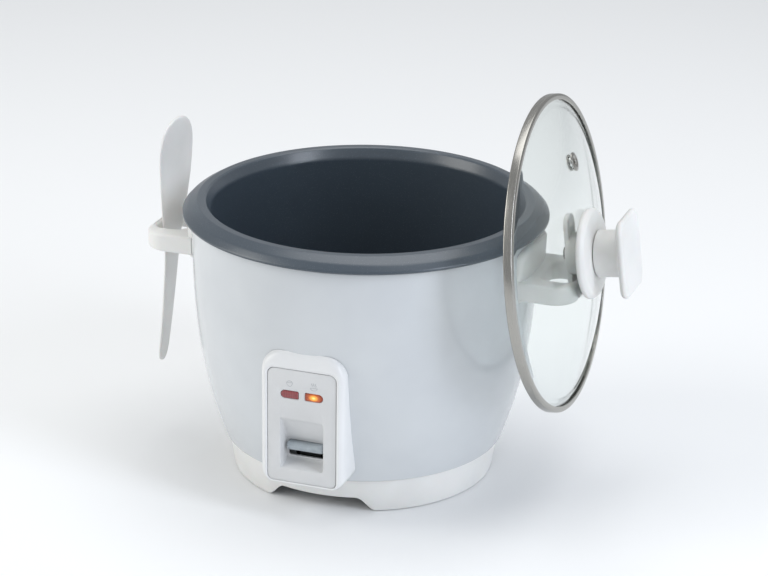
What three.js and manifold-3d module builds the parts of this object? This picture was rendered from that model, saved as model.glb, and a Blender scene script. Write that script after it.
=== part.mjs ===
// A small rice cooker with its lid hung on one side handle and its rice paddle in the other.
// Millimetres, +Z up, the table at z = 0, the control panel towards -Y and the hung lid towards +X.
// Every piece is drawn about the cooker's own upright axis; the last lines move the whole assembly
// so that the frame's origin is the middle of its footprint.
import * as THREE from "three";
import { mergeVertices } from "three/addons/utils/BufferGeometryUtils.js";
import Module from "manifold-3d";

const wasm = await Module();
wasm.setup();

// ---- Driving dimensions ------------------------------------------------------------------

const GAP = 0.3; // air between pieces that rest on each other
const SIDES = 36; // facets round a large turned piece
const MIDDLE = 20; // facets round a knob or cap
const FINE = 12; // facets round a pin or bore
const SCREW = 8; // facets round a screw

// Inner pot
const potRimR = 105; // outer edge of the rim
const rimWidth = 13.5; // from the outer edge of the rim in to the mouth
const rimCrestW = 5; // flat crest round the mouth
const rimFall = 6.2; // height lost from the crest to the edge
const rimLip = 1.6; // upright edge below the slope
const potWall = 1.6;
const potTaper = 3.6; // how much narrower the wall is at its foot
const potCornerR = 18;
const mouthFlareH = 6; // the mouth opens out over this height, and the lid's ring seats in it
const potFloorT = potWall;

// Base ring and bottom cover
const baseH = 20.6;
const baseStep = 2.1; // how far the ring's top stands in from the shell's foot
const baseTaper = 3.4;
const baseWall = 2.5;
const footWidth = 5;
const footLedge = 10; // height of the ledge that carries the bottom cover
const archH = 8; // finger arch between the two feet, front and back
const archHalfTop = 23;
const archHalfFoot = 33;
const coverT = 1.2;

// Outer shell
const shellH = 132.1;
const shellWall = 1.2;
const shellInset = 4.6; // the rim reaches this far past the shell's top
const shellTaper = 18.9; // how much narrower the shell is at its foot
const shellFlange = 20.5; // floor flange turned in at the foot
const rimLift = 1.2; // the rim's edge stands this far above the shell

// Heat shield (inner can) and heating plate
const shieldWall = 0.8;
const shieldGapTop = 1.3; // air between the pot and the shield at the mouth
const shieldTaper = 4.9;
const shieldCornerR = 24;
const chamberH = 19.1; // from the shell's foot up to the shield's floor
const plateRise = 18.7; // from the shield's floor up to the plate's top
const plateOverhang = 8.1; // how far the plate reaches past the pot's flat floor
const plateT = 6.5;
const heaterInset = 20; // from the plate's edge in to the centre line of the element's ring
const heaterTubeR = 3.2;
const heaterLegX = 12;
const spacerR = 5;
const plateScrewInset = 38; // from the plate's edge in to its screws

// Temperature sensor and latch magnet
const sensorR = 15.2;
const sensorH = 12.7;
const sensorClear = 1.8; // air round the sensor in the plate's hole
const sensorTravel = 2; // how far the sensor goes down under a full pot
const ferriteT = 5;
const seatTubeR = 9;
const seatWall = 1.4;
const magnetR = 7.2;
const magnetT = 4.5;
const latchRise = 2.8; // how far the lever lifts the magnet
const latchAir = 1.2; // air left between magnet and ferrite when both are at their ends

// Cook lever
const leverReach = 64.5; // from the panel's front back to the pivot
const leverPivotDrop = 2.9; // from the top of the arm down to the pivot
const leverPinR = 1.5;
const leverArmDrop = 4.9; // from the shield's floor down to the top of the arm
const leverArmT = 1.5;
const leverArmW = 12;
const leverCapClear = 0.5; // at each end of the slot
const leverCapH = 4.7;

// Control panel
const panelProud = 1.1; // front plane, past the shell's top
const bezelW = 49.6;
const bezelH = 79.2;
const bezelLift = 3.4; // above the base ring
const bezelWall = 2.4;
const faceMargin = 4.6; // bezel left at each side of the face plate
const faceH = 67.6;
const faceLift = 1.8; // above the bezel's foot
const faceT = 2.2;
const pocketMargin = 1.7; // pocket left at each end of the slot
const pocketH = 30.4;
const pocketLift = 7.8; // above the face plate's foot
const pocketDepth = 8.5;
const slotW = 22;
const slotH = 9.5;
const slotLift = 4.9; // above the pocket's foot
const lensW = 10.5;
const lensH = 4.6;
const lensDrop = 14.8; // from the face plate's top down to the lenses
const lensOff = 7.15; // from the panel's middle to the middle of each lens

// Side handles
const handleReach = 29; // from the shell's top out to the handle's end
const handleW = 54;
const handleDrop = 20; // from the shell's top down to the handle's top
const handleT = 11;
const handleSlotGap = 7.6; // from the shell's top out to the slot
const handleBarW = 3.2; // bar left outside the slot
const handleCornerR = 13;
const handleSlotW = 31;
const handleRootT = 4;
const handleRootDrop = 3.5; // from the shell's top down to the root's top
const handleScrewY = 16;

// Lid, drawn flat with its outside up, then hung on edge
const lidSeat = 2; // the ring's edge is this far inside the mouth, so it rests in the flare
const lidRingT = 0.8;
const lidRingIn = 3.3;
const lidSkirt = 5.4;
const glassT = 3;
const glassRise = 15;
const ventR = 51.6; // distance of the steam vent from the middle of the lid
const ventTurn = THREE.MathUtils.degToRad(-8.9); // its turn off the line through the hanger
const knobBaseR = 25.6;
const knobStemR = 13.3;
const knobStemTop = 37;
const knobHeadT = 4;
const knobHeadW = 37;
const knobHeadL = 45; // its longer side, upright on the hung lid
const hangBladeW = 14;
const hangBladeL = 46;
const hangBladeT = 2.6;
const hangBladeClear = 0.4; // from the blade's end to the bar outside the slot
const hangClear = 0.35; // air between the glass and the handle's outer corners
const lidLift = 11; // middle of the hung lid above the handle
const hangLean = THREE.MathUtils.degToRad(7.5); // the lid's top leans towards the pot

// Rice paddle
const paddleT = 2.4;
const paddleBelow = 91; // from the handle's top down to the grip's end
const paddleAbove = 62.5; // and up to the blade's end
const paddleClear = 1.5; // at each side of the handle's slot

// ---- Heights and radii that follow from them ----------------------------------------------

const shellLow = baseH + GAP;
const shellTop = shellLow + shellH;
const shellTopR = potRimR - shellInset;
const shellFootR = shellTopR - shellTaper;
const rimEdgeZ = shellTop + rimLift;
const crestZ = rimEdgeZ + rimLip + rimFall;
const mouthR = potRimR - rimWidth;
const crestR = mouthR + rimCrestW;
const baseTopR = shellFootR - baseStep;
const baseFootR = baseTopR - baseTaper;
const shieldFloorZ = shellLow + chamberH;
const plateTopZ = shieldFloorZ + plateRise;
const plateLow = plateTopZ - plateT;
const potFloorZ = plateTopZ + GAP;
const potCornerAt = mouthR - potTaper - potCornerR; // edge of the pot's flat floor
const plateR = potCornerAt + plateOverhang;
const plateHoleR = sensorR + sensorClear;
const plateScrewPcr = plateR - plateScrewInset;
const heaterR = plateR - heaterInset;
const sensorTopZ = plateTopZ;
const sensorSkinT = 1.4;
const ferriteLow = sensorTopZ - sensorSkinT - GAP - ferriteT;
const magnetZ = ferriteLow - sensorTravel - latchRise - latchAir - magnetT;
const panelY = -(shellTopR + panelProud);
const bezelLow = baseH + bezelLift;
const bezelHigh = bezelLow + bezelH;
const faceW = bezelW - 2 * faceMargin;
const faceLow = bezelLow + faceLift;
const faceHigh = faceLow + faceH;
const pocketW = slotW + 2 * pocketMargin;
const pocketLow = faceLow + pocketLift;
const pocketHigh = pocketLow + pocketH;
const slotLow = pocketLow + slotLift;
const slotHigh = slotLow + slotH;
const lensZ = faceHigh - lensDrop;
const leverCapW = slotW - 2 * leverCapClear;
const leverArmZ = shieldFloorZ - leverArmDrop;
const leverPivotY = panelY + leverReach;
const leverPivotZ = leverArmZ - leverPivotDrop;
const handleEnd = shellTopR + handleReach;
const handleTop = shellTop - handleDrop;
const handleBottom = handleTop - handleT;
const handleRootTop = shellTop - handleRootDrop;
const handleSlotIn = shellTopR + handleSlotGap;
const handleSlotOut = handleEnd - handleBarW;
const handleSlotMid = (handleSlotIn + handleSlotOut) / 2;
const lidR = mouthR - lidSeat;
const lidCentreZ = handleTop + lidLift;

// The glass is a dome over the lid's rim plane. The hung lid stands where its inner face clears
// the handle's end, and its blade where it clears the bar outside the slot.
const domeFootR = lidR - lidRingIn - 2;
const domeH = glassRise + lidRingT + GAP;
const domeR = (domeFootR ** 2 + domeH ** 2) / (2 * domeH);
const domeZ = (r) => glassRise - domeR + Math.sqrt(domeR ** 2 - r ** 2);
const hangCornerR = Math.hypot(lidLift, handleW / 2 - handleCornerR);
const hangX = handleEnd + hangClear - lidLift * Math.tan(hangLean)
  - (domeZ(hangCornerR) - glassT) * Math.cos(hangLean);
const hangBladeLow = (handleSlotOut - hangBladeClear - hangX - (hangBladeL / 2) * Math.sin(hangLean))
  / Math.cos(hangLean) - hangBladeT;
const paddleLow = handleTop - paddleBelow;
const paddleHigh = handleTop + paddleAbove;

// ---- Helpers -------------------------------------------------------------------------------

const V2 = (x, y) => new THREE.Vector2(x, y);
const V3 = (x, y, z) => new THREE.Vector3(x, y, z);
const turn = Math.PI * 2;

function solid(geometry) {
  const bare = geometry.clone();
  bare.deleteAttribute("normal");
  bare.deleteAttribute("uv");
  const merged = geometry.userData.closed ? bare : mergeVertices(bare, 1e-4);
  const triVerts = [];
  for (let i = 0; i < merged.index.count; i += 3) {
    const [a, b, c] = [0, 1, 2].map((k) => merged.index.getX(i + k));
    if (a !== b && b !== c && a !== c) triVerts.push(a, b, c);
  }
  const vertProperties = merged.attributes.position.array;
  const mesh = new wasm.Mesh({ numProp: 3, vertProperties, triVerts: new Uint32Array(triVerts) });
  return new wasm.Manifold(mesh);
}

function geometryOf(made) {
  const mesh = made.getMesh();
  const geometry = new THREE.BufferGeometry();
  geometry.setAttribute("position", new THREE.BufferAttribute(new Float32Array(mesh.vertProperties), 3));
  geometry.setIndex(new THREE.BufferAttribute(new Uint32Array(mesh.triVerts), 1));
  geometry.computeVertexNormals();
  geometry.userData.closed = true;
  return geometry;
}

const cut = (body, ...tools) =>
  geometryOf(tools.reduce((left, tool) => left.subtract(solid(tool)), solid(body)));
const join = (...bodies) => geometryOf(bodies.map(solid).reduce((all, next) => all.add(next)));
const common = (a, b) => geometryOf(solid(a).intersect(solid(b)));

// A turned piece about the Z axis, from a profile of [radius, height] points. A profile that
// leaves the axis closes on itself.
function turned(profile, sides = SIDES) {
  const points = profile.map(([r, z]) => V2(r, z));
  if (THREE.ShapeUtils.area(points) < 0) points.reverse();
  const onAxis = points.filter((p) => p.x === 0);
  if (onAxis.length === 0) points.push(points[0].clone());
  while (onAxis.length && !(points[0].x === 0 && points.at(-1).x === 0)) points.push(points.shift());
  return new THREE.LatheGeometry(points, sides).rotateX(Math.PI / 2);
}

// A rod or tube between two heights.
const rod = (r, low, high, sides = FINE) =>
  turned([[0, low], [r, low], [r, high], [0, high]], sides);
const tube = (rIn, rOut, low, high, sides = FINE) =>
  turned([[rIn, low], [rOut, low], [rOut, high], [rIn, high]], sides);

const block = (x0, x1, y0, y1, z0, z1) =>
  new THREE.BoxGeometry(x1 - x0, y1 - y0, z1 - z0)
    .translate((x0 + x1) / 2, (y0 + y1) / 2, (z0 + z1) / 2);

function roundedRect(x0, x1, y0, y1, [topLeft, topRight, bottomRight, bottomLeft]) {
  const s = new THREE.Shape();
  s.moveTo(x0 + bottomLeft, y0);
  s.lineTo(x1 - bottomRight, y0);
  s.absarc(x1 - bottomRight, y0 + bottomRight, bottomRight, -Math.PI / 2, 0);
  s.absarc(x1 - topRight, y1 - topRight, topRight, 0, Math.PI / 2);
  s.absarc(x0 + topLeft, y1 - topLeft, topLeft, Math.PI / 2, Math.PI);
  s.absarc(x0 + bottomLeft, y0 + bottomLeft, bottomLeft, Math.PI, Math.PI * 1.5);
  return s;
}

// A flat outline raised from z = low to z = high, with its edges rounded by bevel. Where a line
// runs into an arc the outline has the same point twice, so the second one is dropped.
function raised(shape, low, high, bevel = 0, curveSegments = 6) {
  const points = shape.getPoints(curveSegments)
    .filter((p, i, all) => p.distanceTo(all[(i + 1) % all.length]) > 1e-3);
  const depth = high - low - 2 * bevel;
  const round = { bevelThickness: bevel, bevelSize: bevel, bevelOffset: -bevel, bevelSegments: 1 };
  return new THREE.ExtrudeGeometry(new THREE.Shape(points), { depth, bevelEnabled: bevel > 0, ...round })
    .translate(0, 0, low + bevel);
}

// The same outline drawn in X and Z, standing from the plane y = front back to y = back.
const standing = (shape, front, back, bevel = 0, curveSegments = 6) =>
  raised(shape, -back, -front, bevel, curveSegments).rotateX(Math.PI / 2);

// A solid through a row of matching closed outlines.
function lofted(sections) {
  const n = sections[0].length;
  const position = sections.flat().flatMap((p) => [p.x, p.y, p.z]);
  const index = [];
  for (let s = 0; s + 1 < sections.length; s++)
    for (let i = 0; i < n; i++) {
      const [a, b] = [s * n + i, s * n + ((i + 1) % n)];
      index.push(a, b, b + n, a, b + n, a + n);
    }
  const last = (sections.length - 1) * n;
  for (let i = 1; i + 1 < n; i++) {
    index.push(0, i + 1, i);
    index.push(last, last + i, last + i + 1);
  }
  const geometry = new THREE.BufferGeometry();
  geometry.setAttribute("position", new THREE.Float32BufferAttribute(position, 3));
  geometry.setIndex(index);
  return geometry;
}

// A wire or lead: a round section swept through the points.
function swept(points, r, steps, sides = 6, curve = new THREE.CatmullRomCurve3(points)) {
  const ring = new THREE.Shape();
  for (let i = 0; i < sides; i++) {
    const a = (i / sides) * turn;
    const at = [r * Math.cos(a), r * Math.sin(a)];
    if (i === 0) ring.moveTo(...at);
    else ring.lineTo(...at);
  }
  return new THREE.ExtrudeGeometry(ring, { steps, extrudePath: curve, bevelEnabled: false });
}

// A coil spring standing on z = low.
class Helix extends THREE.Curve {
  constructor(r, low, high, turns) {
    super();
    Object.assign(this, { r, low, high, turns });
  }
  getPoint(t, target = V3(0, 0, 0)) {
    const a = t * this.turns * turn;
    return target.set(this.r * Math.cos(a), this.r * Math.sin(a), this.low + t * (this.high - this.low));
  }
}
const coil = (r, wireR, low, high, turns) =>
  swept(null, wireR, Math.round(turns * 9), 4, new Helix(r, low + wireR, high - wireR, turns));

// A pan-head screw along +Z with its head's seat at z = 0: the head below, the shank above.
const screw = (headR, headT, shankR, length) =>
  turned([[0, -headT], [headR * 0.8, -headT], [headR, 0], [shankR, 0], [shankR, length], [0, length]],
    SCREW);

function arc(centreR, centreZ, radius, from, to, steps) {
  return Array.from({ length: steps + 1 }, (_, i) => {
    const a = from + ((to - from) * i) / steps;
    return [centreR + radius * Math.sin(a), centreZ - radius * Math.cos(a)];
  });
}

// ---- Materials -----------------------------------------------------------------------------

const paint = (color, roughness, metalness = 0, extra = {}) =>
  new THREE.MeshStandardMaterial({ color, roughness, metalness, ...extra });
const white = paint("#e8eaec", 0.25);
const handleWhite = paint("#eceded", 0.35);
const faceWhite = paint("#dfe0e1", 0.4);
const nonStick = paint("#4d565f", 0.45, 0.1);
const steel = paint("#b9bbbd", 0.3, 1);
const aluminium = paint("#c3c5c8", 0.5, 1);
const zinc = paint("#a4a6a6", 0.45, 1);
const greyPlastic = paint("#8f979e", 0.45);
const glass = paint("#e6eeea", 0.05, 0, { transparent: true, opacity: 0.3 });
const redLens = paint("#7c2b2b", 0.2);
const amberLens = paint("#c87a2c", 0.2);
const ferriteGrey = paint("#3a3b3d", 0.7);
const blackPlastic = paint("#232425", 0.5);
const fibreglass = paint("#d9d4c4", 0.8);
const boardGreen = paint("#3c5a43", 0.6);
const leadWhite = paint("#d8d6cf", 0.6);

const assembly = new THREE.Group();
function add(name, geometry, material, parent = assembly) {
  const mesh = new THREE.Mesh(geometry, material);
  mesh.name = name;
  parent.add(mesh);
  return mesh;
}

// ---- The shell's outer line ----------------------------------------------------------------
// A round-bellied line that widens quickly above the base and is nearly upright at the top.

const shellLine = new THREE.CubicBezierCurve(
  V2(shellFootR, shellLow),
  V2(shellTopR - 0.4, shellLow + 0.38 * shellH),
  V2(shellTopR - 1.8, shellLow + 0.635 * shellH),
  V2(shellTopR, shellTop),
);
const shellProfile = (outset) => shellLine.getPoints(6).map((p) => [p.x + outset, p.y]);

// The shell's outline grown outwards, to trim what is fixed to it.
function bodyOf(outset) {
  return turned([[0, shellLow - 30], [shellFootR + outset, shellLow - 30],
    ...shellProfile(outset), [shellTopR + outset, shellTop + 30], [0, shellTop + 30]]);
}

// Radius of the shell's outer face at a height.
function shellRadius(z) {
  const line = shellProfile(0);
  const i = Math.max(1, line.findIndex(([, high]) => high >= z));
  const [[r0, z0], [r1, z1]] = [line[i - 1], line[i]];
  return r0 + ((r1 - r0) * (z - z0)) / (z1 - z0);
}

// ---- Base ring, bottom cover and their screws ----------------------------------------------

const baseInR = (z) => baseFootR - baseWall + ((baseTopR - baseFootR) * z) / baseH;
const bossR = 4;
const bossPcr = baseFootR - footWidth - bossR - 2;
const bossAngles = [90, 210, 330].map(THREE.MathUtils.degToRad);
const at = (geometry, r, angle) => geometry.translate(r * Math.cos(angle), r * Math.sin(angle), 0);

const bossLow = footLedge + coverT + 2 * GAP;

function archTool(side) {
  const s = new THREE.Shape();
  s.moveTo(-archHalfFoot, -1);
  s.lineTo(archHalfFoot, -1);
  s.bezierCurveTo(archHalfFoot - 3, archH * 0.5, archHalfTop + 4, archH, archHalfTop, archH);
  s.lineTo(-archHalfTop, archH);
  s.bezierCurveTo(-archHalfTop - 4, archH, -archHalfFoot + 3, archH * 0.5, -archHalfFoot, -1);
  const [near, far] = [baseFootR * 0.5, baseTopR + 10];
  return side < 0 ? standing(s, -far, -near) : standing(s, near, far);
}

const baseBody = join(
  turned([[baseFootR, 0], [baseTopR, baseH], [baseTopR - baseWall, baseH],
    [baseInR(footLedge), footLedge], [baseFootR - footWidth, footLedge], [baseFootR - footWidth, 0]]),
  ...bossAngles.map((a) => at(rod(bossR, bossLow, baseH), bossPcr, a)),
  ...bossAngles.map((a) => block(bossPcr, baseInR(baseH), -1.25, 1.25, bossLow, baseH - 3).rotateZ(a)),
);
const screwHoles = (r, low, high) => bossAngles.map((a) => at(rod(r, low, high), bossPcr, a));
add("base_ring", cut(baseBody, archTool(-1), archTool(1), ...screwHoles(1.9, footLedge - 2, baseH + 1)),
  handleWhite);

const coverLow = footLedge + GAP;
const ventSlots = Array.from({ length: 10 }, (_, i) =>
  block(bossPcr - 27, bossPcr - 7, -2, 2, coverLow - 1, coverLow + coverT + 1)
    .rotateZ((i / 10) * turn + 0.31));
add("bottom_cover", cut(rod(baseInR(footLedge) - GAP, coverLow, coverLow + coverT, SIDES),
  ...ventSlots, ...screwHoles(1.9, coverLow - 1, coverLow + coverT + 1)), zinc);

bossAngles.forEach((a, i) => {
  const length = shellLow + shellWall + 0.9 - coverLow;
  add(`bottom_screw_${i + 1}`, at(screw(3.4, 2, 1.6, length).translate(0, 0, coverLow - GAP), bossPcr, a),
    steel);
});

// ---- Side handles ---------------------------------------------------------------------------
// Each is a flat bar with a through-slot, on a root that hugs the shell.

const handleScrewZ = handleTop - handleT / 2;

function handle(sign) {
  const half = handleW / 2;
  const bar = raised(roundedRect(shellTopR - 14, handleEnd, -half, half, [3, handleCornerR, handleCornerR, 3]),
    handleBottom, handleTop, 1.5, 5);
  const rootLine = roundedRect(-half + 1, half - 1, handleBottom - 3, handleRootTop, [9, 9, 5, 5]);
  const slab = raised(rootLine, shellTopR - 20, shellTopR + 20, 0, 4)
    .rotateX(Math.PI / 2).rotateZ(Math.PI / 2);
  const root = common(bodyOf(handleRootT + GAP), slab);
  const slot = raised(roundedRect(handleSlotIn, handleSlotOut, -handleSlotW / 2, handleSlotW / 2,
    [6, 6, 6, 6]), handleBottom - 1, handleTop + 1, 0, 4);
  const bores = [-1, 1].map((side) =>
    rod(1.7, shellTopR - 14, shellTopR + 6.5).rotateY(Math.PI / 2)
      .translate(0, side * handleScrewY, handleScrewZ));
  const made = cut(join(bar, root), bodyOf(GAP), slot, ...bores);
  return sign < 0 ? made.rotateZ(Math.PI) : made;
}
add("right_handle", handle(1), handleWhite);
add("left_handle", handle(-1), handleWhite);

// Screws from inside the shell into each handle.
const handleScrewSeat = Math.sqrt((shellRadius(handleScrewZ) - shellWall - GAP) ** 2
  - (handleScrewY + 3.2) ** 2) - GAP;
for (const [name, sign] of [["right", 1], ["left", -1]])
  [-1, 1].forEach((side, i) => {
    const made = screw(3, 1.6, 1.35, shellTopR + 5.5 - handleScrewSeat)
      .rotateY(Math.PI / 2).translate(handleScrewSeat, side * handleScrewY, handleScrewZ);
    if (sign < 0) made.rotateZ(Math.PI);
    add(`${name}_handle_screw_${i + 1}`, made, steel);
  });

// ---- Outer shell ----------------------------------------------------------------------------

const leverWindow = block(-leverArmW / 2 - 3, leverArmW / 2 + 3, panelY, leverPivotY - 30,
  leverArmZ - leverArmT - 4, slotHigh + 1);
const lampWindow = block(-14, 14, panelY, leverPivotY - 30, lensZ - 6.5, lensZ + 6.5);
const inletW = 31;
const inletLow = shellLow + shellWall + 2.5;
const inletHigh = shieldFloorZ - 1;
const inletWindow = block(-inletW / 2, inletW / 2, 60, 110, inletLow, inletHigh);
const panelScrewX = 17;
const panelScrewZ = bezelHigh - 5.5;
const panelScrewHoles = (r, front, back) => [-1, 1].map((side) =>
  rod(r, -back, -front).rotateX(Math.PI / 2).translate(side * panelScrewX, 0, panelScrewZ));
const handleScrewHoles = [-1, 1].flatMap((sign) => [-1, 1].map((side) =>
  rod(1.7, shellTopR - 20, shellTopR + 6).rotateY(Math.PI / 2)
    .translate(0, side * handleScrewY, handleScrewZ).rotateZ(sign < 0 ? Math.PI : 0)));

const shellInside = shellProfile(-shellWall).slice(1, -1).reverse();
add("outer_shell", cut(
  turned([
    [shellFootR - shellFlange, shellLow], ...shellProfile(0),
    [shellTopR - rimLift - 2.6, shellTop], [shellTopR - rimLift - 2.6, shellTop - shellWall],
    [shellTopR - shellWall, shellTop - shellWall], ...shellInside,
    [shellFootR - shellWall + 0.6, shellLow + shellWall],
    [shellFootR - shellFlange, shellLow + shellWall],
  ]),
  leverWindow, lampWindow, inletWindow, ...handleScrewHoles,
  ...panelScrewHoles(1.7, panelY, -shellTopR + 25), ...screwHoles(1.9, shellLow - 1, shellLow + 3)),
white);

// ---- Inner pot ------------------------------------------------------------------------------

const potWallLine = (outset) => [
  [0, potFloorZ + potFloorT - outset],
  ...arc(potCornerAt, potFloorZ + potFloorT + potCornerR, potCornerR + outset, 0, 1.48, 3),
];
const slopeIn = rimEdgeZ + rimLip;
const flareR = lidR - 0.9; // inner wall where the mouth begins to open out
const flareZ = crestZ - mouthFlareH;
add("inner_pot", turned([
  ...potWallLine(0), [flareR, flareZ], [mouthR, crestZ - 1], [mouthR + 1, crestZ], [crestR, crestZ],
  [potRimR, slopeIn], [potRimR, rimEdgeZ], [potRimR - potWall, rimEdgeZ],
  [potRimR - potWall, slopeIn - 1.1], [crestR - 0.9, crestZ - potWall],
  [mouthR + potWall, crestZ - potWall], [flareR + potWall, flareZ - 0.6],
  ...potWallLine(potWall).reverse(),
]), nonStick);

// ---- Heat shield ----------------------------------------------------------------------------

const shieldTopR = mouthR + potWall + shieldGapTop;
const shieldCornerAt = shieldTopR - shieldTaper - shieldCornerR;
const shieldWallLine = (outset) => [
  ...arc(shieldCornerAt, shieldFloorZ + shieldWall + shieldCornerR, shieldCornerR + outset, 0, 1.48, 3),
  [shieldTopR + outset, shellTop + GAP],
];
const seatHoleR = seatTubeR + GAP;
const plateScrewAngles = bossAngles;
const legY = Math.sqrt(heaterR ** 2 - heaterLegX ** 2);
const floorHoles = [
  ...plateScrewAngles.map((a) => at(rod(2.3, shieldFloorZ - 1, shieldFloorZ + 2), plateScrewPcr, a)),
  ...[-1, 1].map((side) =>
    rod(heaterTubeR + 1.5, shieldFloorZ - 1, shieldFloorZ + 2).translate(side * heaterLegX, legY, 0)),
];
add("heat_shield", cut(
  turned([
    [seatHoleR, shieldFloorZ], ...shieldWallLine(shieldWall),
    [shieldTopR + 4.2, shellTop + GAP], [shieldTopR + 4.2, shellTop + GAP + shieldWall],
    [shieldTopR, shellTop + GAP + shieldWall], ...shieldWallLine(0).slice(0, -1).reverse(),
    [seatHoleR, shieldFloorZ + shieldWall],
  ]), ...floorHoles), aluminium);

// ---- Heating plate, element, spacers and screws ---------------------------------------------

add("heating_plate", cut(
  turned([
    [plateHoleR, plateLow], [plateR - 6, plateLow], [plateR, plateLow + 0.8],
    [plateR, plateTopZ - 1.5], [plateR - 1.5, plateTopZ], [plateHoleR, plateTopZ],
  ]),
  ...plateScrewAngles.map((a) => at(rod(2.3, plateLow - 1, plateTopZ - 1.2), plateScrewPcr, a))),
aluminium);

// The element is an almost closed ring under the plate whose two ends turn down through the floor.
const heaterZ = plateLow - heaterTubeR - 3 * GAP;
const legAngle = Math.atan2(legY, heaterLegX);
const heaterRing = Array.from({ length: 23 }, (_, i) => {
  const a = legAngle - 0.14 - ((turn - (Math.PI - 2 * legAngle) - 0.28) * i) / 22;
  return V3(heaterR * Math.cos(a), heaterR * Math.sin(a), heaterZ);
});
const heaterLeg = (side) => [
  V3(side * heaterLegX, legY, shieldFloorZ - 6), V3(side * heaterLegX, legY, shieldFloorZ + 3),
];
add("heater_element",
  swept([...heaterLeg(1), ...heaterRing, ...heaterLeg(-1).reverse()], heaterTubeR, 44, 6), steel);

plateScrewAngles.forEach((a, i) => {
  const [low, high] = [shieldFloorZ + shieldWall + GAP, plateLow - GAP];
  add(`plate_spacer_${i + 1}`, at(tube(2.3, spacerR, low, high), plateScrewPcr, a), steel);
  add(`plate_screw_${i + 1}`,
    at(screw(3.6, 2, 1.9, plateTopZ - 2 - shieldFloorZ).translate(0, 0, shieldFloorZ - GAP),
      plateScrewPcr, a), steel);
});

// ---- Temperature sensor ---------------------------------------------------------------------

add("sensor_seat", turned([
  [seatTubeR - seatWall, shieldFloorZ - 0.7], [seatTubeR, shieldFloorZ - 0.7],
  [seatTubeR, shieldFloorZ + shieldWall + GAP], [sensorR + 0.8, shieldFloorZ + shieldWall + GAP],
  [sensorR + 0.8, shieldFloorZ + shieldWall + GAP + 1], [seatTubeR, shieldFloorZ + shieldWall + GAP + 1],
  [seatTubeR, shieldFloorZ + 8], [seatTubeR - seatWall, shieldFloorZ + 8],
], MIDDLE), zinc);
add("sensor_cap", turned([
  [0, sensorTopZ], [sensorR - 1, sensorTopZ], [sensorR, sensorTopZ - 1],
  [sensorR, sensorTopZ - sensorH], [sensorR - 1.2, sensorTopZ - sensorH],
  [sensorR - 1.2, sensorTopZ - sensorSkinT], [0, sensorTopZ - sensorSkinT],
], MIDDLE), aluminium);
add("sensor_ferrite", rod(sensorR - 1.5, ferriteLow, ferriteLow + ferriteT, MIDDLE), ferriteGrey);
const springSeatZ = shieldFloorZ + shieldWall + 2 * GAP + 1;
const outerCoilR = (sensorR - 1.2 + seatTubeR) / 2;
add("sensor_spring", coil(outerCoilR, 0.7, springSeatZ, ferriteLow - GAP, 4), steel);
add("magnet_spring", coil(magnetR - 2, 0.4, magnetZ + magnetT + GAP, ferriteLow - GAP, 2.5), steel);
add("latch_magnet", rod(magnetR, magnetZ, magnetZ + magnetT, MIDDLE), ferriteGrey);
const holderTop = magnetZ - GAP;
const holderFootR = 3;
add("magnet_holder", turned([
  [0, leverArmZ + GAP], [holderFootR, leverArmZ + GAP], [holderFootR, leverArmZ + GAP + 1.2],
  [2.2, leverArmZ + GAP + 1.2], [2.2, holderTop - 1.2], [magnetR, holderTop - 1.2],
  [magnetR, holderTop], [0, holderTop],
], MIDDLE), greyPlastic);

// ---- Cook lever -----------------------------------------------------------------------------
// The arm rocks on its pin: its cap goes down in the panel's slot as its tail lifts the magnet.

const armLow = leverArmZ - leverArmT;
const stepY = panelY + 15.5; // where the arm steps up behind the shell
const capZ = slotHigh - 0.3; // top of the cap
const capLow = capZ - leverCapH;
const capFront = panelY + 4.5;
const capBack = panelY + 11;
const armX = leverArmW / 2;
const hub = rod(3.4, -armX, armX, FINE).rotateY(Math.PI / 2).translate(0, leverPivotY, leverPivotZ);
const leverBore = rod(leverPinR + GAP, -armX - 1, armX + 1, FINE)
  .rotateY(Math.PI / 2).translate(0, leverPivotY, leverPivotZ);
add("lever_arm", cut(join(
  block(-armX, armX, stepY, holderFootR, armLow, leverArmZ),
  block(-armX, armX, stepY, stepY + leverArmT, armLow, capLow + 2.9),
  block(-armX, armX, capBack - 4, stepY + leverArmT, capLow + 1.4, capLow + 2.9),
  hub), leverBore), zinc);

const capShape = roundedRect(-leverCapW / 2, leverCapW / 2, capLow, capZ, [2, 2, 0.6, 0.6]);
const tongue = block(-armX - GAP, armX + GAP, capBack - 4 - GAP, capBack + 1, capLow + 1.1, capLow + 3.2);
add("lever_cap", cut(standing(capShape, capFront, capBack, 0.5, 4), tongue), greyPlastic);

const cheekX = armX + 3;
const bracketTop = shieldFloorZ - GAP;
const pinBore = rod(leverPinR + GAP, -cheekX - 4, cheekX + 4, FINE)
  .rotateY(Math.PI / 2).translate(0, leverPivotY, leverPivotZ);
const bracketT = 1.2;
const cheek = block(cheekX, cheekX + bracketT, leverPivotY - 5, leverPivotY + 5,
  leverPivotZ - 4, bracketTop);
add("lever_bracket", cut(join(
  block(-cheekX - bracketT, cheekX + bracketT, leverPivotY - 8, leverPivotY + 8,
    bracketTop - bracketT, bracketTop),
  cheek, cheek.clone().translate(-2 * cheekX - bracketT, 0, 0),
), pinBore), zinc);
add("lever_pin", rod(leverPinR, -cheekX - 3, cheekX + 3, FINE)
  .rotateY(Math.PI / 2).translate(0, leverPivotY, leverPivotZ), steel);

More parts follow.
